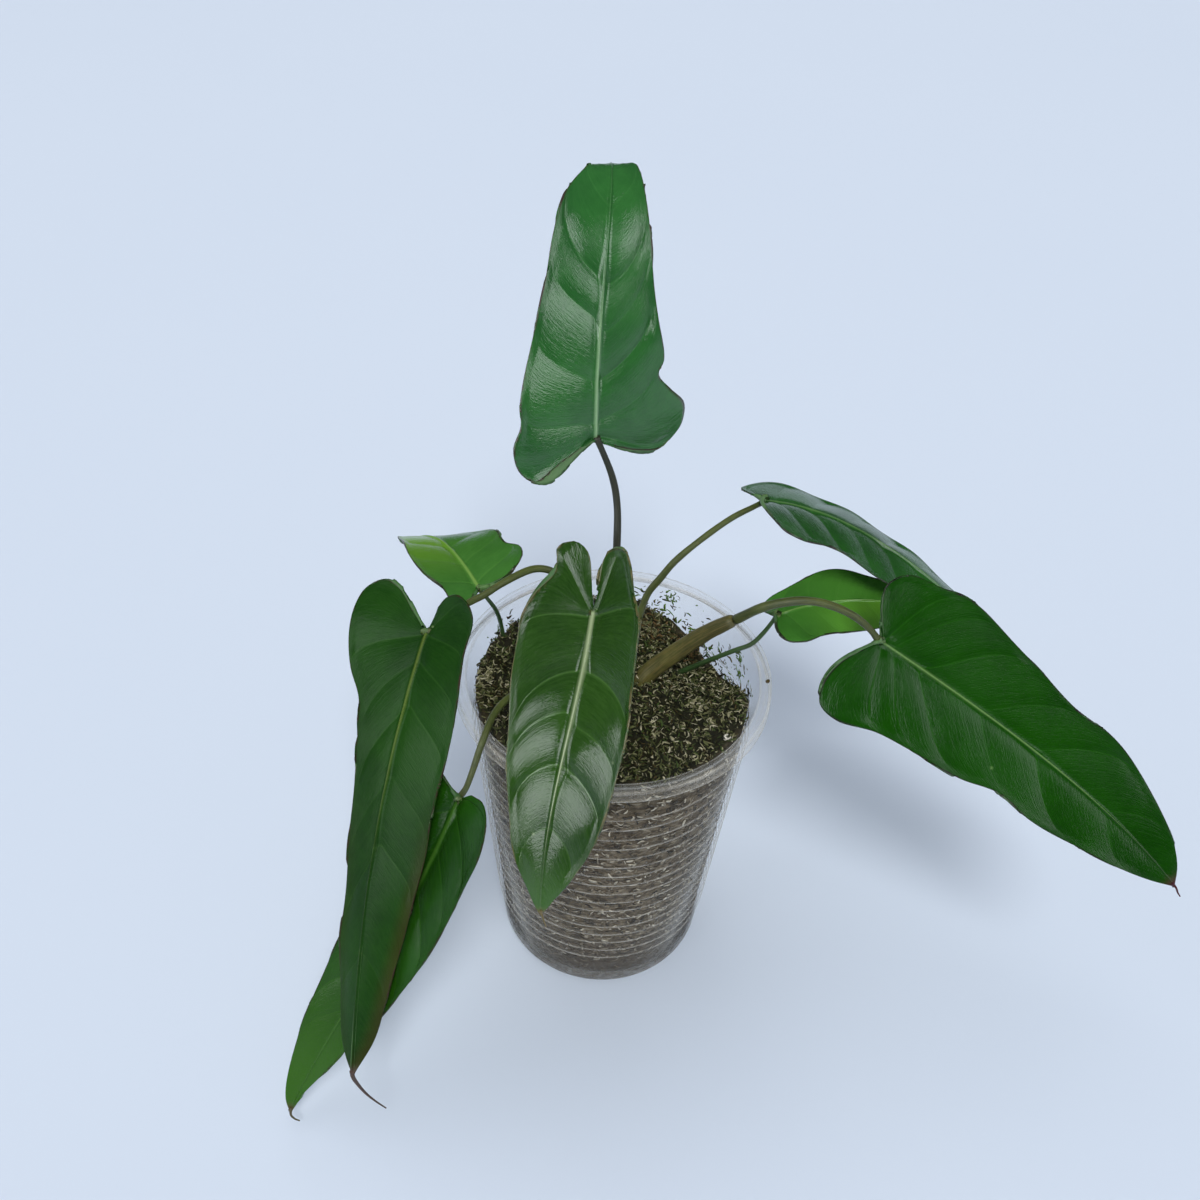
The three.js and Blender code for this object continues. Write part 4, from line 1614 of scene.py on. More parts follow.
@dataclass
class Mix:
    """The moss and fibre mix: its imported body, its loose top and the bits against the wall."""

    cup: Cup
    level: float = 112.5
    front_rise: float = 0.04
    hollow_depth: float = 14.0
    hollow_centre: Pair = (34.0, 22.0)
    hollow_spread: float = 20.0
    lump_height: float = 0.9
    lump_length: float = 13.0
    lump_ratios: Pair = (0.8, 1.4)
    small_lumps: float = 0.6
    gap: float = 0.8
    wall_gap: float = 0.3
    top_gap: float = 0.95
    edge_radius: float = 41.0
    foot: float = 1.5
    body_heights: tuple[int, ...] = tuple(range(6, 97, 5))
    circles: int = 46
    turns: int = 120
    sunk: float = 0.6
    loose_edge: float = 1.2
    top_bits: Bits = Bits(lengths=(0.8, 2.7), widths=(0.18, 0.46), flat=0.5)
    top_fibres: int = 9700
    unevenness: float = 0.8
    tilt: float = 0.35
    spin: float = 0.7
    sizes: Pair = (0.65, 1.2)
    far_share: float = 0.16
    far_turn: Pair = (38.0, 26.0)
    far_from: float = 0.12
    wall_bits: Bits = Bits(lengths=(0.8, 2.9), widths=(0.22, 0.58), flat=0.2)
    wall_fibres: int = 8600
    wall_heights: Pair = (2.5, 113.0)
    below_top: float = 0.3
    wall_lean: float = 0.75
    wall_lengths: Pair = (0.6, 1.2)
    wall_widths: Pair = (0.7, 1.3)
    flake_bits: Bits = Bits(lengths=(0.7, 2.6), widths=(0.16, 0.42), flat=0.25)
    flakes: int = 190
    flake_share: float = 0.72
    flake_turn: Pair = (42.0, 24.0)
    flake_turns: Pair = (-25.0, 175.0)
    flake_height: float = 3.6
    flake_top: float = 116.5
    flake_sizes: tuple[float, ...] = (0.6, 0.9, 1.0, 1.5)
    green_scraps: tuple[tuple[float, float, int], ...] = (
        (20, 112, 22), (17, 107, 14), (65, 114.5, 16), (150, 113, 8),
    )
    twig: tuple[Point, ...] = ((36.5, 12.5, 96.5), (38.6, 9.5, 101), (39.9, 5.5, 105.5), (40.4, 2.5, 109))
    lip_spot: tuple[Point, ...] = ((45.6, -2.6, 118), (46.1, -1.9, 118.1), (46.4, -1.2, 118))
    lip_spot_radii: tuple[float, ...] = (0.3, 0.6, 0.65, 0.5, 0.2)
    brown: float = 0.95
    grain_at: Point = (33.3, -21.3, 113.4)
    grain_radius: float = 1.25
    seed: int = 7
    usual: tuple[int, ...] = (0, 0, 0, 1, 1, 2, 2, 3, 3, 4, 5, 6, 7, 7, 8)
    patches: tuple[Patch, ...] = (
        Patch((25.4, -8.0), 4.2, 1.3, (7, 8, 5, 3)),
        Patch((-38.0, -2.0), 4.0, 0.8, (7, 8, 5)),
        Patch((24.0, 28.0), 6.0, 0.5, (9, 6, 4, 9)),
        Patch((11.0, 31.0), 8.0, 0.3, (6, 2, 3, 9, 5, 7)),
    )

    def top(self, x: float, y: float) -> float:
        """The height of the mix's top.

        Args:
            x: the place's x.
            y: its y.

        Returns:
            The height.
        """
        away = math.hypot(x - self.hollow_centre[0], y - self.hollow_centre[1]) / self.hollow_spread
        turn = 2 * math.pi / self.lump_length
        broad = math.sin(x * turn + 1) * math.cos(y * turn * self.lump_ratios[0])
        lumps = broad + self.small_lumps * math.sin((x + y) * turn * self.lump_ratios[1])
        hollow = self.hollow_depth * math.exp(-away * away)
        return self.level - self.front_rise * y - hollow + self.lump_height * lumps

    def top_towards(self, angle: float, out: float = 1.0) -> float:
        """The height of the mix's top at a share of the way out to the wall."""
        return self.top(math.cos(angle) * out * self.edge_radius, math.sin(angle) * out * self.edge_radius)

    def build_body(self, effects: Effects, finish: CompostFinish) -> bpy.types.Object:
        """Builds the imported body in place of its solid.

        Args:
            effects: the shared node groups.
            finish: its finish.

        Returns:
            The piece.
        """
        edge = self.cup.inner(self.level)
        line = [(0.0, self.cup.floor + self.gap), (self.cup.base_radius - self.cup.corner_radius, self.foot)]
        line += [(self.cup.inner(z) - self.gap, z) for z in self.body_heights]
        line += [(share * edge, self.level) for share in np.linspace(1, 0, self.circles)]
        bm = lathed([(radius, z, 0.0) for radius, z in line], "loose", self.turns)
        bmesh.ops.recalc_face_normals(bm, faces=bm.faces)
        loose = float_layer(bm, "loose")
        for vert in bm.verts:
            if vert.co.z < (self.level - 0.1) * MM:
                continue
            x, y = vert.co.x / MM, vert.co.y / MM
            vert[loose] = 1.0 if math.hypot(x, y) < edge - self.loose_edge else 0.8
            z = self.top(x, y) - self.sunk
            reach = (self.cup.inner(z) - self.gap) / edge
            vert.co = Vector((x * reach, y * reach, z)) * MM
        return add_piece("packed_mix", mesh_of(bm, "packed_mix"), finish.build(effects), ["substrate"])

    def build_top(self, effects: Effects, finish: FibreFinish) -> bpy.types.Object:
        """Builds the loose bits that cover the top, closer together on its far right side.

        Args:
            effects: the shared node groups.
            finish: their finish.

        Returns:
            The piece.
        """
        rng = np.random.default_rng(self.seed)
        shapes = self.top_bits.build(rng)
        places, tints = [], []
        for _ in range(self.top_fibres):
            far = rng.uniform() < self.far_share
            angle = math.radians(rng.normal(*self.far_turn)) if far else rng.uniform(0, 2 * math.pi)
            out = math.sqrt(rng.uniform(self.far_from if far else 0.0, 1))
            reach = self.cup.inner(self.top_towards(angle, out)) - self.top_gap
            x, y = math.cos(angle) * out * reach, math.sin(angle) * out * reach
            z = self.top(x, y) + rng.uniform(-self.unevenness, self.unevenness)
            choice = self.usual
            for patch in self.patches:
                inside = 1 - math.hypot(x - patch.centre[0], y - patch.centre[1]) / patch.radius
                if inside > rng.uniform(0, 0.5):
                    choice = patch.tints
                    z += patch.rise * min(1.0, inside * 2)
            turn = Quaternion((0, 0, 1), rng.uniform(0, 2 * math.pi))
            tilt = Quaternion((0, 1, 0), rng.normal(0, self.tilt))
            spin = Quaternion((1, 0, 0), rng.normal(0, self.spin))
            place = Matrix.Translation(Vector((x, y, z)) * MM) @ (turn @ tilt @ spin).to_matrix().to_4x4()
            places.append(place @ Matrix.Scale(rng.uniform(*self.sizes), 4))
            tints.append((rng.choice(choice) + 0.5) / len(finish.tints))
        mesh = scattered("loose_moss", shapes, places, np.array(tints))
        return add_piece("loose_moss", mesh, finish.build(effects))

    def against_wall(self, angle: float, z: float, lean: float) -> Matrix:
        """The place of a flat bit on the inside of the wall.

        Args:
            angle: where it is round the cup.
            z: its height.
            lean: its turn from level.

        Returns:
            Its matrix, in metres.
        """
        rim = self.cup.inner(z) - self.wall_gap
        at = Vector((math.cos(angle) * rim, math.sin(angle) * rim, z)) * MM
        upright = Quaternion((0, 0, 1), angle) @ Quaternion((0, 1, 0), math.pi / 2)
        lie = Quaternion((0, 0, 1), math.pi / 2 + lean)
        return Matrix.Translation(at) @ (upright @ lie).to_matrix().to_4x4()

    def build_wall(self, effects: Effects, finish: FibreFinish) -> bpy.types.Object:
        """Builds the flat bits pressed against the inside of the wall.

        Args:
            effects: the shared node groups.
            finish: their finish.

        Returns:
            The piece.
        """
        rng = np.random.default_rng(self.seed + 1)
        shapes = self.wall_bits.build(rng)
        places = []
        while len(places) < self.wall_fibres:
            angle = rng.uniform(0, 2 * math.pi)
            z = rng.uniform(*self.wall_heights)
            if z > self.top_towards(angle) - self.below_top:
                continue
            place = self.against_wall(angle, z, rng.normal(0, self.wall_lean))
            length, width = rng.uniform(*self.wall_lengths), rng.uniform(*self.wall_widths)
            places.append(place @ Matrix.Diagonal((length, width, 1, 1)))
        mesh = scattered("wall_moss", shapes, places, rng.uniform(0, 1, len(places)))
        return add_piece("wall_moss", mesh, finish.build(effects))

    def build_flakes(self, effects: Effects, finish: FibreFinish) -> bpy.types.Object:
        """Builds the flakes and the twig that cling to the bare wall above the mix, and a brown spot on the lip.

        Args:
            effects: the shared node groups.
            finish: their finish.

        Returns:
            The piece.
        """
        rng = np.random.default_rng(self.seed + 2)
        shapes = self.flake_bits.build(rng)
        places, tints = [], []
        while len(places) < self.flakes:
            near = rng.uniform() < self.flake_share
            angle = math.radians(rng.normal(*self.flake_turn) if near else rng.uniform(*self.flake_turns))
            z = self.top_towards(angle) + rng.exponential(self.flake_height)
            if z < self.flake_top:
                size = rng.choice(self.flake_sizes)
                places.append(self.against_wall(angle, z, rng.uniform(0, math.pi)) @ Matrix.Scale(size, 4))
                tints.append(rng.uniform(0, 1))
        for turn, z, count in self.green_scraps:
            for _ in range(count):
                angle = math.radians(rng.normal(turn, 1.6))
                places.append(self.against_wall(angle, rng.normal(z, 1.1), rng.uniform(0, math.pi)))
                tints.append(rng.choice((0.05, 0.3)))
        mesh = scattered("wall_flakes", shapes, places, np.array(tints))
        bm = bmesh.new()
        bm.from_mesh(mesh)
        twig = smooth_path(self.twig, count=14)
        add_tube(bm, twig, np.linspace(0.5, 0.3, len(twig)), sides=7, marks={"tint": self.brown})
        spot = smooth_path(self.lip_spot, len(self.lip_spot_radii))
        add_tube(bm, spot, self.lip_spot_radii, sides=8, squeeze=(0.5, 1.0), marks={"tint": self.brown})
        bm.to_mesh(mesh)
        bm.free()
        return add_piece("wall_flakes", mesh, finish.build(effects))

    def build_grain(self, effects: Effects, finish: FibreFinish) -> bpy.types.Object:
        """Builds the white mineral grain that lies on the mix.

        Args:
            effects: the shared node groups.
            finish: its finish.

        Returns:
            The piece.
        """
        rng = np.random.default_rng(self.seed + 3)
        bm = bmesh.new()
        at = Vector(self.grain_at) * MM
        for vert in bmesh.ops.create_icosphere(bm, subdivisions=2, radius=self.grain_radius * MM)["verts"]:
            vert.co = at + vert.co * rng.uniform(0.8, 1.12)
        return add_piece("pale_grain", mesh_of(bm, "pale_grain"), finish.build(effects))


# The studio


@dataclass(frozen=True)
class Light:
    """A far soft light, either a window that only glossy faces mirror or a lamp that only lights: the way that
    it comes from, the angle in degrees that it is spread over and its strength on a face that looks at it."""

    name: str
    source: Point
    spread: float
    strength: float
    mirrored: bool = False


@dataclass
class Studio:
    """The floor, the light and the camera."""

    floor_radius: float = 4000.0
    floor_colour: Colour = rgb(211, 222, 237)
    floor_shade: Colour = rgb(190, 204, 226)
    sky: Colour = rgb(214, 226, 246)
    sky_strength: float = 0.27
    mirrored_sky: float = 0.07
    seen_sky: float = 0.9
    lights: tuple[Light, ...] = (
        Light("left window", (-0.58, -0.645, 0.5), 46, 2.2, mirrored=True),
        Light("middle window", (0.25, -0.62, 0.743), 18, 0.1, mirrored=True),
        Light("right window", (0.73, -0.42, 0.53), 36, 1.15, mirrored=True),
        Light("key", (0.06, -0.57, 0.82), 20, 2.0),
        Light("side", (-0.8, -0.25, 0.5), 60, 0.35),
        Light("overhead", (-0.15, 0.32, 0.94), 50, 0.85),
    )
    window_colour: Point = (0.94, 0.98, 1.0)
    lamp_colour: Point = (1.0, 0.985, 0.96)
    look_at: Point = (-5.0, 0.0, 145.3)
    distance: float = 326.0
    pitch: float = 41.1
    roll: float = 2.66
    lens: float = 34.5
    sensor: float = 36.0
    clip: Pair = (10.0, 20000.0)

    def build(self) -> None:
        """Makes all of it."""
        self.build_floor()
        self.build_sky()
        for light in self.lights:
            self.build_light(light)
        self.build_camera()

    def build_floor(self) -> None:
        """A wide pale floor."""
        bm = bmesh.new()
        bmesh.ops.create_circle(bm, cap_ends=True, segments=96, radius=self.floor_radius * MM)
        material, tree, skin = new_material("pale floor")
        shade = tree.span(tree.noise(tree.place(), scale=2.0), 0.3, 0.7, (0.0, 0.06))
        tint = tree.mix(shade, self.floor_colour, self.floor_shade)
        tree.feed(skin, {"Base Color": tint, "Roughness": 0.75, "Specular IOR Level": 0.2})
        floor = linked("floor", mesh_of(bm, "floor"), [material])

    def build_sky(self) -> None:
        """An even pale surrounding light, dim where a glossy face mirrors it, bright where the camera sees it."""
        world = bpy.data.worlds.new("soft surround")
        world.use_nodes = True
        tree = Tree(world.node_tree)
        ray = tree.add("LightPath")
        mirrored = tree.span(ray.outputs["Is Glossy Ray"], 0.0, 1.0, (self.sky_strength, self.mirrored_sky))
        seen = tree.span(ray.outputs["Is Camera Ray"], 0.0, 1.0, (0.0, self.seen_sky - self.sky_strength))
        tree.feed(world.node_tree.nodes["Background"], {"Color": self.sky, "Strength": tree.plus(mirrored, seen)})
        bpy.context.scene.world = world
        bpy.context.scene.view_settings.view_transform = "Standard"

    def build_light(self, light: Light) -> None:
        """Makes a light.

        Args:
            light: what it is.
        """
        data = bpy.data.lights.new(light.name, "SUN")
        data.angle = math.radians(light.spread)
        data.energy = light.strength
        data.color = self.window_colour if light.mirrored else self.lamp_colour
        lamp = bpy.data.objects.new(light.name, data)
        bpy.context.scene.collection.objects.link(lamp)
        lamp.visible_glossy = light.mirrored
        lamp.visible_diffuse = not light.mirrored
        lamp.rotation_euler = Vector(light.source).to_track_quat("Z", "Y").to_euler()

    def build_camera(self) -> None:
        """The camera at the photograph's angle."""
        data = bpy.data.cameras.new("camera")
        data.lens = self.lens
        data.sensor_width = self.sensor
        data.clip_start, data.clip_end = (away * MM for away in self.clip)
        camera = bpy.data.objects.new("camera", data)
        bpy.context.scene.collection.objects.link(camera)
        tilt = Matrix.Rotation(math.radians(90 - self.pitch), 4, "X")
        view = tilt @ Matrix.Rotation(math.radians(self.roll), 4, "Z")
        ahead = view @ Vector((0, 0, -1))
        at = (Vector(self.look_at) - ahead * self.distance) * MM
        camera.matrix_world = Matrix.Translation(at) @ view
        bpy.context.scene.camera = camera


# The plant

UPRIGHT = LeafFinish(
    "upright leaf", body=rgb(46, 106, 46), deep=rgb(34, 88, 38), young=rgb(48, 106, 44), vein=rgb(70, 132, 66),
    rib=rgb(156, 194, 144), margin=rgb(66, 50, 46), gloss=0.13, shine=0.55,
)
FORWARD = LeafFinish(
    "forward leaf", body=rgb(37, 72, 16), deep=rgb(26, 58, 12), young=rgb(48, 92, 14), vein=rgb(92, 134, 66),
    rib=rgb(152, 168, 126), margin=rgb(104, 98, 64), tip=rgb(104, 92, 56), gloss=0.12, shine=0.5,
)
DROOPING = LeafFinish(
    "drooping leaf", body=rgb(26, 67, 13), deep=rgb(16, 52, 9), young=rgb(32, 70, 14), vein=rgb(60, 100, 42),
    rib=rgb(112, 130, 54), margin=rgb(58, 42, 34), blush=rgb(60, 48, 18), tip=rgb(86, 72, 66), gloss=0.32, shine=0.1,
)
BROAD = LeafFinish(
    "broad leaf", body=rgb(18, 68, 3), deep=rgb(10, 54, 2), young=rgb(16, 64, 3), vein=rgb(44, 104, 22),
    rib=rgb(122, 160, 92), margin=rgb(40, 22, 32), tip=rgb(74, 34, 40), gloss=0.16, shine=0.2,
)
REAR = LeafFinish(
    "rear leaf", body=rgb(34, 90, 26), deep=rgb(24, 72, 20), young=rgb(30, 84, 24), vein=rgb(60, 108, 52),
    rib=rgb(104, 140, 84), margin=rgb(52, 34, 40), gloss=0.22, shine=0.6,
)
LOW = LeafFinish(
    "low leaf", body=rgb(28, 76, 10), deep=rgb(18, 60, 6), young=rgb(52, 100, 5), vein=rgb(60, 108, 30),
    rib=rgb(76, 122, 44), margin=rgb(46, 44, 22), tip=rgb(86, 78, 52), shine=0.2,
)
PALE = LeafFinish(
    "pale leaf", body=rgb(60, 114, 44), deep=rgb(44, 96, 32), young=rgb(108, 156, 34), vein=rgb(90, 142, 60),
    rib=rgb(112, 152, 70), margin=rgb(50, 44, 26),
)
BRIGHT = LeafFinish(
    "bright leaf", body=rgb(66, 126, 44), deep=rgb(50, 104, 32), young=rgb(104, 160, 44), vein=rgb(84, 140, 56),
    rib=rgb(118, 158, 78), margin=rgb(44, 48, 26),
)

OLIVE = StalkFinish("olive stalk", body=rgb(76, 89, 38), deep=rgb(55, 67, 28), fleck=rgb(106, 104, 54))
DUSKY = StalkFinish("dusky stalk", body=rgb(32, 34, 18), deep=rgb(30, 34, 22), fleck=rgb(68, 68, 42))
GREEN = StalkFinish("green stalk", body=rgb(50, 80, 40), deep=rgb(36, 58, 32), fleck=rgb(84, 110, 60))
OCHRE = StalkFinish("ochre sheath", body=rgb(96, 94, 46), deep=rgb(72, 72, 36), fleck=rgb(128, 112, 66), gloss=0.45)

TOP_MOSS = FibreFinish(
    "loose moss",
    (rgb(30, 32, 17), rgb(53, 58, 31), rgb(78, 84, 47), rgb(100, 106, 64), rgb(66, 84, 38), rgb(124, 124, 86),
     rgb(76, 66, 36), rgb(162, 158, 124), rgb(198, 192, 162), rgb(116, 93, 58)),
)
WALL_MOSS = FibreFinish(
    "pressed moss",
    (rgb(58, 52, 42), rgb(122, 112, 94), rgb(162, 152, 132), rgb(82, 73, 59), rgb(206, 198, 178),
     rgb(104, 93, 77), rgb(44, 39, 31), rgb(140, 129, 108)), bottom_dark=0.85,
)
FLAKES = FibreFinish(
    "stray flakes",
    (rgb(84, 116, 48), rgb(58, 68, 34), rgb(100, 134, 54), rgb(84, 74, 48), rgb(110, 98, 64), rgb(56, 46, 32),
     rgb(70, 44, 26)),
)
GRAIN = FibreFinish("pale grain", (rgb(226, 222, 210), rgb(200, 196, 184)))

TALL = Blade(
    "tall", UPRIGHT, Slot.LEAF, attachment=(-8, 29, 180), heading=103, dip=-77, roll=4, length=90,
    bend=(7, 35, 49, 145, 749), sweep=(22, 7), twist=-10, width=26, wave=(0.5, 26), rib_width=0.42,
    rib_end=(0.25, 0.6), rib_pale=0.85, puckers=1.6,
    right=Half(
        fold=(-12, 5), curl=(-13, -8), lift=-18,
        outline=((0, 90), (4, 85.5), (7.5, 77), (10, 67), (13, 50.5), (17, 34.5), (20.5, 22), (19.5, 17.5),
                 (24.5, 12), (30.5, 6), (30.5, -3), (24, -10), (14, -7), (6, -3)),
        veins=((64, 50, 0.07, 0.4), (42, 68, 0.155, 0.9), (29, 60, 0.27, 0.3), (16, 62, 0.385, 0.9),
               (5, 75, 0.57, 0.3), (0.5, 97, 0.8, 0.5)),
    ),
    left=Half(
        fold=(18, -15), curl=(0, -5), lift=12,
        outline=((0, 90), (4, 86), (8, 76.5), (12, 67), (14.5, 56), (16, 43), (19, 28.5), (23, 13.5),
                 (23.5, 7.5), (26.5, 2), (25, -5.5), (20.5, -9), (13, -5), (5.5, -1.5)),
        veins=((64, 50, 0.07, 0.4), (44, 62, 0.18, 0.9), (33, 60, 0.34, 0.7), (16, 60, 0.5, 0.4),
               (4, 70, 0.66, 0.4), (0.3, 100, 0.84, 0.4)),
    ),
)

FRONT = Blade(
    "front", FORWARD, Slot.LEAF, attachment=(-7, -10.5, 150), heading=-95, dip=32, roll=7, length=84,
    bend=(1, 47, 50), sweep=(30, -22), twist=6, width=22, wave=(0.4, 22), rib_width=0.44, tip_reach=2.5,
    rib_end=(0.5, 0.9), drip=((-16.4, -67.3, 88.0), (-15.6, -68.2, 85.8)), young=(0.75, 1.0, 0.8, 0.8), puckers=1.6,
    right=Half(
        fold=(11, -3), curl=(-4, -8), lift=11,
        outline=((0, 85.5), (1.3, 84), (4.2, 79), (8, 71.5), (11, 62), (14.5, 47.5), (17, 33.5), (19, 19), (19, 6),
                 (16, -3.5), (11.5, -10), (11, -17), (7, -19.5), (3, -17), (1, -9)),
        veins=((60, 70, 0.09, 0.35), (42.5, 80, 0.215, 1.0), (28, 80, 0.325, 0.7), (16.5, 82, 0.385, 1.0),
               (1, 90, 0.63, 0.8), (0, 140, 0.83, 0.4)),
    ),
    left=Half(
        fold=(36, -12), curl=(4, -10), lift=14,
        outline=((0, 85.5), (1.3, 84), (4.4, 79), (9, 71.5), (13, 62), (16, 47), (17.5, 32), (17.5, 14), (18, 4),
                 (15, -5.5), (13, -13), (10.5, -17), (6, -17.5), (2.5, -15), (1.2, -8)),
        veins=((60, 70, 0.09, 0.35), (43.3, 78, 0.215, 1.0), (31.8, 85, 0.335, 0.5), (16.6, 78, 0.43, 1.0),
               (0.8, 88, 0.68, 0.6), (0, 140, 0.86, 0.4)),
    ),
)

LEFT = Blade(
    "left", DROOPING, Slot.LEAF, attachment=(-54, -7.5, 137), heading=-107, dip=36, roll=14, length=133,
    bend=(41, 28, 7), sweep=(3, -7), twist=-7, width=22, wave=(0.5, 30), rib_width=0.36, rib_pale=0.55,
    rib_end=(0.15, 0.55), blush=(0.1, 0.55), thread=(0.75, 0.2),
    drip=((-70.2, -87.2, 33.4), (-68.7, -87.4, 27.8), (-67.0, -87.5, 23.5), (-64.7, -87.6, 19.5),
          (-62.1, -87.6, 15.6)),
    right=Half(
        fold=(3, -21), curl=(8, -16), lift=-6,
        outline=((0, 132), (3, 127), (6, 117.5), (8, 100), (8.5, 80), (9, 64), (11, 48), (13, 31), (15.5, 23),
                 (21, 14.5), (24, 2), (23.5, -8), (19, -12), (13, -10.5), (6, -5)),
        veins=((95, 33, 0.13, 0.3), (66, 30, 0.25, 0.6), (44, 32, 0.37, 0.3), (23, 36, 0.475, 0.6),
               (9, 50, 0.6, 0.3), (0.6, 66, 0.72, 0.5), (0, 125, 0.88, 0.3)),
    ),
    left=Half(
        fold=(12, -25), curl=(-7, -16), lift=34,
        outline=((0, 132), (3, 127), (6, 120), (9.5, 103), (12.5, 85), (15.5, 64), (16, 48), (17.5, 32),
                 (17.5, 18), (16, 4), (15.5, -8), (11.5, -12.5), (6.5, -11.5), (2.5, -7.5)),
        veins=((92, 35, 0.14, 0.3), (59, 38, 0.345, 0.6), (40, 40, 0.46, 0.3), (19.6, 42, 0.59, 0.6),
               (8, 52, 0.69, 0.3), (0.5, 68, 0.79, 0.4), (0, 130, 0.9, 0.3)),
    ),
)

LOW_LEFT = Blade(
    "low_left", LOW, Slot.YOUNG, attachment=(-42, -42, 106), heading=-122, dip=52, roll=-2, length=119,
    bend=(17, 5, 12), sweep=(39, -25), twist=-14, width=22, wave=(0.4, 28), rib_width=0.42, rib_pale=0.6,
    drip=((-92.1, -86.9, 6.6), (-91.1, -87.3, 5.0), (-89.6, -87.5, 4.2)), thread=(0.6, 0.2),
    young=(0.4, 0.95, 0.8, 0.8),
    right=Half(
        fold=(15, 7), curl=(-6, -5), lift=3,
        outline=((0, 119), (2.5, 115.5), (6, 105), (9, 88), (11, 73), (12.5, 55), (14, 38), (15.5, 22), (17, 8),
                 (15, -3), (9.5, -6), (4, -2.5)),
        veins=even_veins(6, 119, 38, 0.5),
    ),
    left=Half(
        fold=(29, -1), curl=(1, -7), lift=8,
        outline=((0, 119), (1.5, 111), (3.5, 102), (6, 89), (10, 71), (13, 52), (15, 34), (16, 18), (17.5, 7),
                 (15.5, -1), (11, -5), (5, -4)),
        veins=even_veins(6, 119, 38, 0.5),
    ),
)

SMALL_LEFT = Blade(
    "small_left", PALE, Slot.YOUNG, attachment=(-42, 20.5, 130), heading=123, dip=-11, roll=2, length=55,
    bend=(18, 94, 37), sweep=(9, -12), twist=26, width=16, wave=(0.3, 18), rib_width=0.42,
    young=(0.0, 0.6, 0.1, 0.9),
    right=Half(
        fold=(32, -11), curl=(7, -11), lift=14,
        outline=((0, 55), (3, 51.5), (6.5, 46), (10, 38), (13, 29), (15.5, 20), (14.5, 11.5), (17.5, 3.5),
                 (15, -2.5), (10, -4), (5, -2)),
        veins=even_veins(4, 55, 50, 0.45),
    ),
    left=Half(
        fold=(18, -9), curl=(-4, -12), lift=0,
        outline=((0, 55), (3, 51.5), (6.5, 46), (10, 38), (13, 28), (15.5, 17), (15, 8), (12, 1.5), (11.5, -3.5),
                 (7, -5), (3.5, -2.5)),
        veins=even_veins(4, 55, 50, 0.45),
    ),
)

BACK_RIGHT = Blade(
    "back_right", REAR, Slot.LEAF, attachment=(44.5, 44.5, 151), heading=5, dip=6, roll=-11, length=91,
    bend=(79, 25, 37), sweep=(21, 12), twist=19, width=18, wave=(0.4, 24), rib_width=0.42, rib_pale=0.7,
    right=Half(
        fold=(14, -23), curl=(-20, -19), lift=2,
        outline=((0, 91), (4, 86), (8, 77), (12, 62), (16, 45), (18, 28), (19.5, 17), (23, 7), (22.5, 1.5),
                 (17, -1), (11, -2), (5, -1.5)),
        veins=even_veins(5, 91, 48, 0.6),
    ),
    left=Half(
        fold=(-5, -6), curl=(-4, -28), lift=-2,
        outline=((0, 91), (4, 86.5), (8, 77), (12, 62), (15, 46), (18, 29), (20.5, 14), (19, 4), (15, -2),
                 (10, -5.5), (5, -3.5)),
        veins=even_veins(5, 91, 48, 0.6),
    ),
)

RIGHT = Blade(
    "right", BROAD, Slot.LEAF, attachment=(75, -6, 140), heading=-26, dip=20, roll=26, length=107,
    bend=(11, 2, 29), sweep=(-3, 34), twist=13, width=24, wave=(0.5, 28), rib_width=0.32, rib_pale=0.7, puckers=1.3,
    drip=((159.8, -51.2, 93), (160.4, -51.9, 91.9), (161.2, -52.5, 91)),
    right=Half(
        fold=(-8, -5), curl=(-15, -9), lift=-2,
        outline=((0, 107), (4, 101.5), (8.5, 92.5), (12.5, 80), (16, 64), (15.5, 52), (19, 40), (20.5, 27),
                 (22, 13.5), (26, 2), (24.5, -4.5), (18.5, -7), (11, -6), (5.5, -3)),
        veins=((78, 40, 0.09, 0.25), (52.9, 48, 0.215, 0.5), (33, 42, 0.37, 0.3), (11.7, 37, 0.48, 0.5),
               (4, 50, 0.6, 0.25), (0.4, 64, 0.69, 0.5), (0, 125, 0.86, 0.25)),
    ),
    left=Half(
        fold=(18, 9), curl=(-1, -2), lift=4,
        outline=((0, 107), (4, 102.5), (9, 92.5), (14, 78.5), (16.5, 66), (16.5, 54), (19, 38), (23.5, 17),
                 (22, 5), (20, -4.5), (14, -8), (9, -6), (4, -2.5)),
        veins=((78, 40, 0.09, 0.25), (52.5, 44, 0.21, 0.5), (34, 45, 0.36, 0.3), (14, 42, 0.52, 0.5),
               (3.5, 60, 0.62, 0.25), (0.6, 76, 0.71, 0.5), (0, 125, 0.86, 0.25)),
    ),
)

SMALL_RIGHT = Blade(
    "small_right", BRIGHT, Slot.YOUNG, attachment=(49.5, 19, 126.5), heading=24, dip=-8, roll=-4, length=52,
    bend=(31, 37, -1), sweep=(23, -1), twist=30, width=14, wave=(0.3, 18), rib_width=0.38, rib_pale=0.7,
    young=(0.0, 0.7, 0.7, 0.1),
    right=Half(
        fold=(2, -5), curl=(-12, -8), lift=2,
        outline=((0, 52), (3, 47.5), (7, 41), (10, 33), (12, 22), (12.5, 10), (14, 2), (12, -2.5), (7, -3.5),
                 (3.5, -2.5)),
        veins=even_veins(4, 52, 50, 0.45),
    ),
    left=Half(
        fold=(-15, 11), curl=(-11, 21), lift=0,
        outline=((0, 52), (3, 47.5), (6.5, 41), (9, 34), (12.5, 25), (13.5, 19), (11.5, 8), (11.5, 2.5),
                 (8, -2.5), (4, -2)),
        veins=even_veins(4, 52, 50, 0.45),
    ),
)

BLADES = (TALL, FRONT, LEFT, LOW_LEFT, SMALL_LEFT, BACK_RIGHT, RIGHT, SMALL_RIGHT)

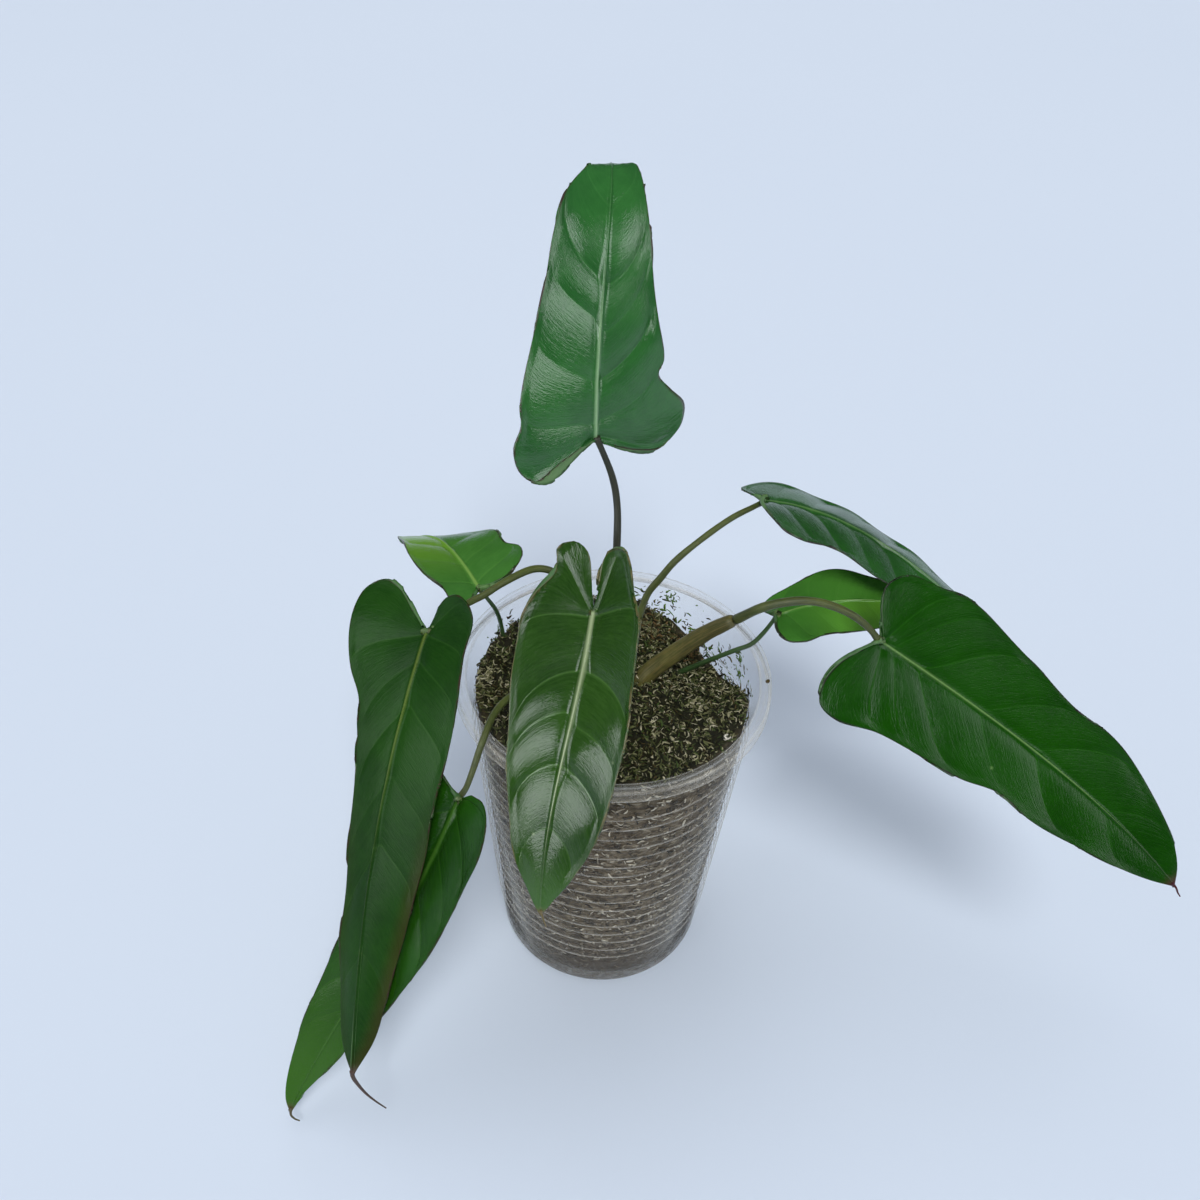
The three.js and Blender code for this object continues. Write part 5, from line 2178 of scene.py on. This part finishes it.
STALKS = (
    Stalk("tall", DUSKY, (1.5, 0.9), seat=(-0.7, 0.9), route=(
        (0, 9.8, 104), (-0.3, 11.5, 115), (-0.8, 15, 135), (-0.8, 18.5, 150), (-1.3, 24, 161), (-3, 27, 168.5),
    )),
    Stalk("front", OLIVE, (1.4, 0.9), seat=(0, 1), route=(
        (-4.5, 2, 104), (-5, 0, 115), (-6, -3.5, 130), (-7, -7.5, 142),
    )),
    Stalk("left", OLIVE, (1.4, 0.9), seat=(0, 1.6), route=(
        (-4.1, 7, 104), (-6, 9, 118), (-12, 12, 135), (-18, 12.8, 143.5), (-24, 10.5, 147), (-33, 4, 146.5),
        (-38, 0.8, 144.5), (-42.5, -0.8, 142.5), (-48, -3.5, 139.5),
    )),
    Stalk("low_left", OLIVE, (1.3, 0.85), seat=(0.9, 1.5), route=(
        (-1.5, -1.3, 104), (-4, -4, 114), (-12, -9, 121), (-21, -14, 124), (-29, -19.5, 124.5),
        (-33, -26, 124), (-35.5, -33.5, 121), (-38, -38.5, 114), (-39.8, -40.5, 109),
    )),
    Stalk("small_left", GREEN, (0.8, 0.6), seat=(0.3, 1.2), route=(
        (-33.5, 18, 98), (-34.8, 19.2, 109), (-35.7, 19.5, 117), (-37, 18.7, 123), (-39.5, 19, 127.2),
    )),
    Stalk("back_right", OLIVE, (1.2, 0.85), seat=(0.2, 1.55), route=(
        (7.2, 21, 120.5), (9.8, 25.2, 127), (13.2, 26.6, 132), (17.5, 28.2, 138), (28, 33.2, 146),
        (35, 37.6, 149), (40, 40.5, 150.2),
    )),
    Stalk("right", OLIVE, (1.5, 0.95), seat=(1.3, 0.7), route=(
        (34.9, 4.4, 136.4), (42, 1, 144.8), (50.5, -1.3, 149.5), (57, -2.6, 150.3), (65, -4.5, 148.3),
        (71, -5.2, 143.8),
    )),
    Stalk("small_right", GREEN, (0.9, 0.65), seat=(0.3, 1.35), route=(
        (16, 17.5, 97), (23, 15.5, 104), (30, 13.3, 111), (37, 11.8, 117), (42, 12.4, 119.5),
        (45.2, 14.6, 121.8), (47.8, 17.2, 124),
    )),
)

SHEATHS = (
    Sheath("large", OCHRE, (3.1, 2.1), route=(
        (6.7, 3.2, 105), (11, 4.8, 112.4), (19.2, 7, 120), (27, 7, 128), (34.4, 4.7, 135.9),
    )),
    Sheath("small", OCHRE, (1.9, 1.6), route=(
        (4.6, 9.2, 104), (5, 12.5, 111), (5.8, 17, 116.5), (6.9, 20.6, 120.1),
    )),
)


def corners(box: tuple[Vector, Vector]) -> list[list[float]]:
    """A box's two corners as plain lists."""
    return [[float(value) for value in corner] for corner in box]


def report(piece: bpy.types.Object) -> None:
    """Logs a piece and its number of faces."""
    LOG.info("%s: %d faces", piece.name, len(piece.data.polygons))


def main() -> None:
    """Builds the studio, the cup, the mix and the plant, in order."""
    logging.basicConfig(level=logging.INFO, format="%(name)s: %(message)s")
    effects = Effects()
    Studio().build()
    cup = Cup()
    report(cup.build(effects, ClearPlastic()))
    mix = Mix(cup)
    report(mix.build_body(effects, CompostFinish()))
    report(mix.build_top(effects, TOP_MOSS))
    report(mix.build_wall(effects, WALL_MOSS))
    report(mix.build_flakes(effects, FLAKES))
    report(mix.build_grain(effects, GRAIN))
    for blade in BLADES:
        report(blade.build(effects))
    blades = {blade.name: blade for blade in BLADES}
    for stalk in STALKS:
        report(stalk.build(effects, blades[stalk.name]))
    for sheath in SHEATHS:
        report(sheath.build(effects))
    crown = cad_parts["crown_stem"]
    crown.data.materials.clear()
    crown.data.materials.append(OLIVE.build(effects))
    LOG.info("crown_stem keeps its solid's form")


if __name__ == "__main__":
    main()
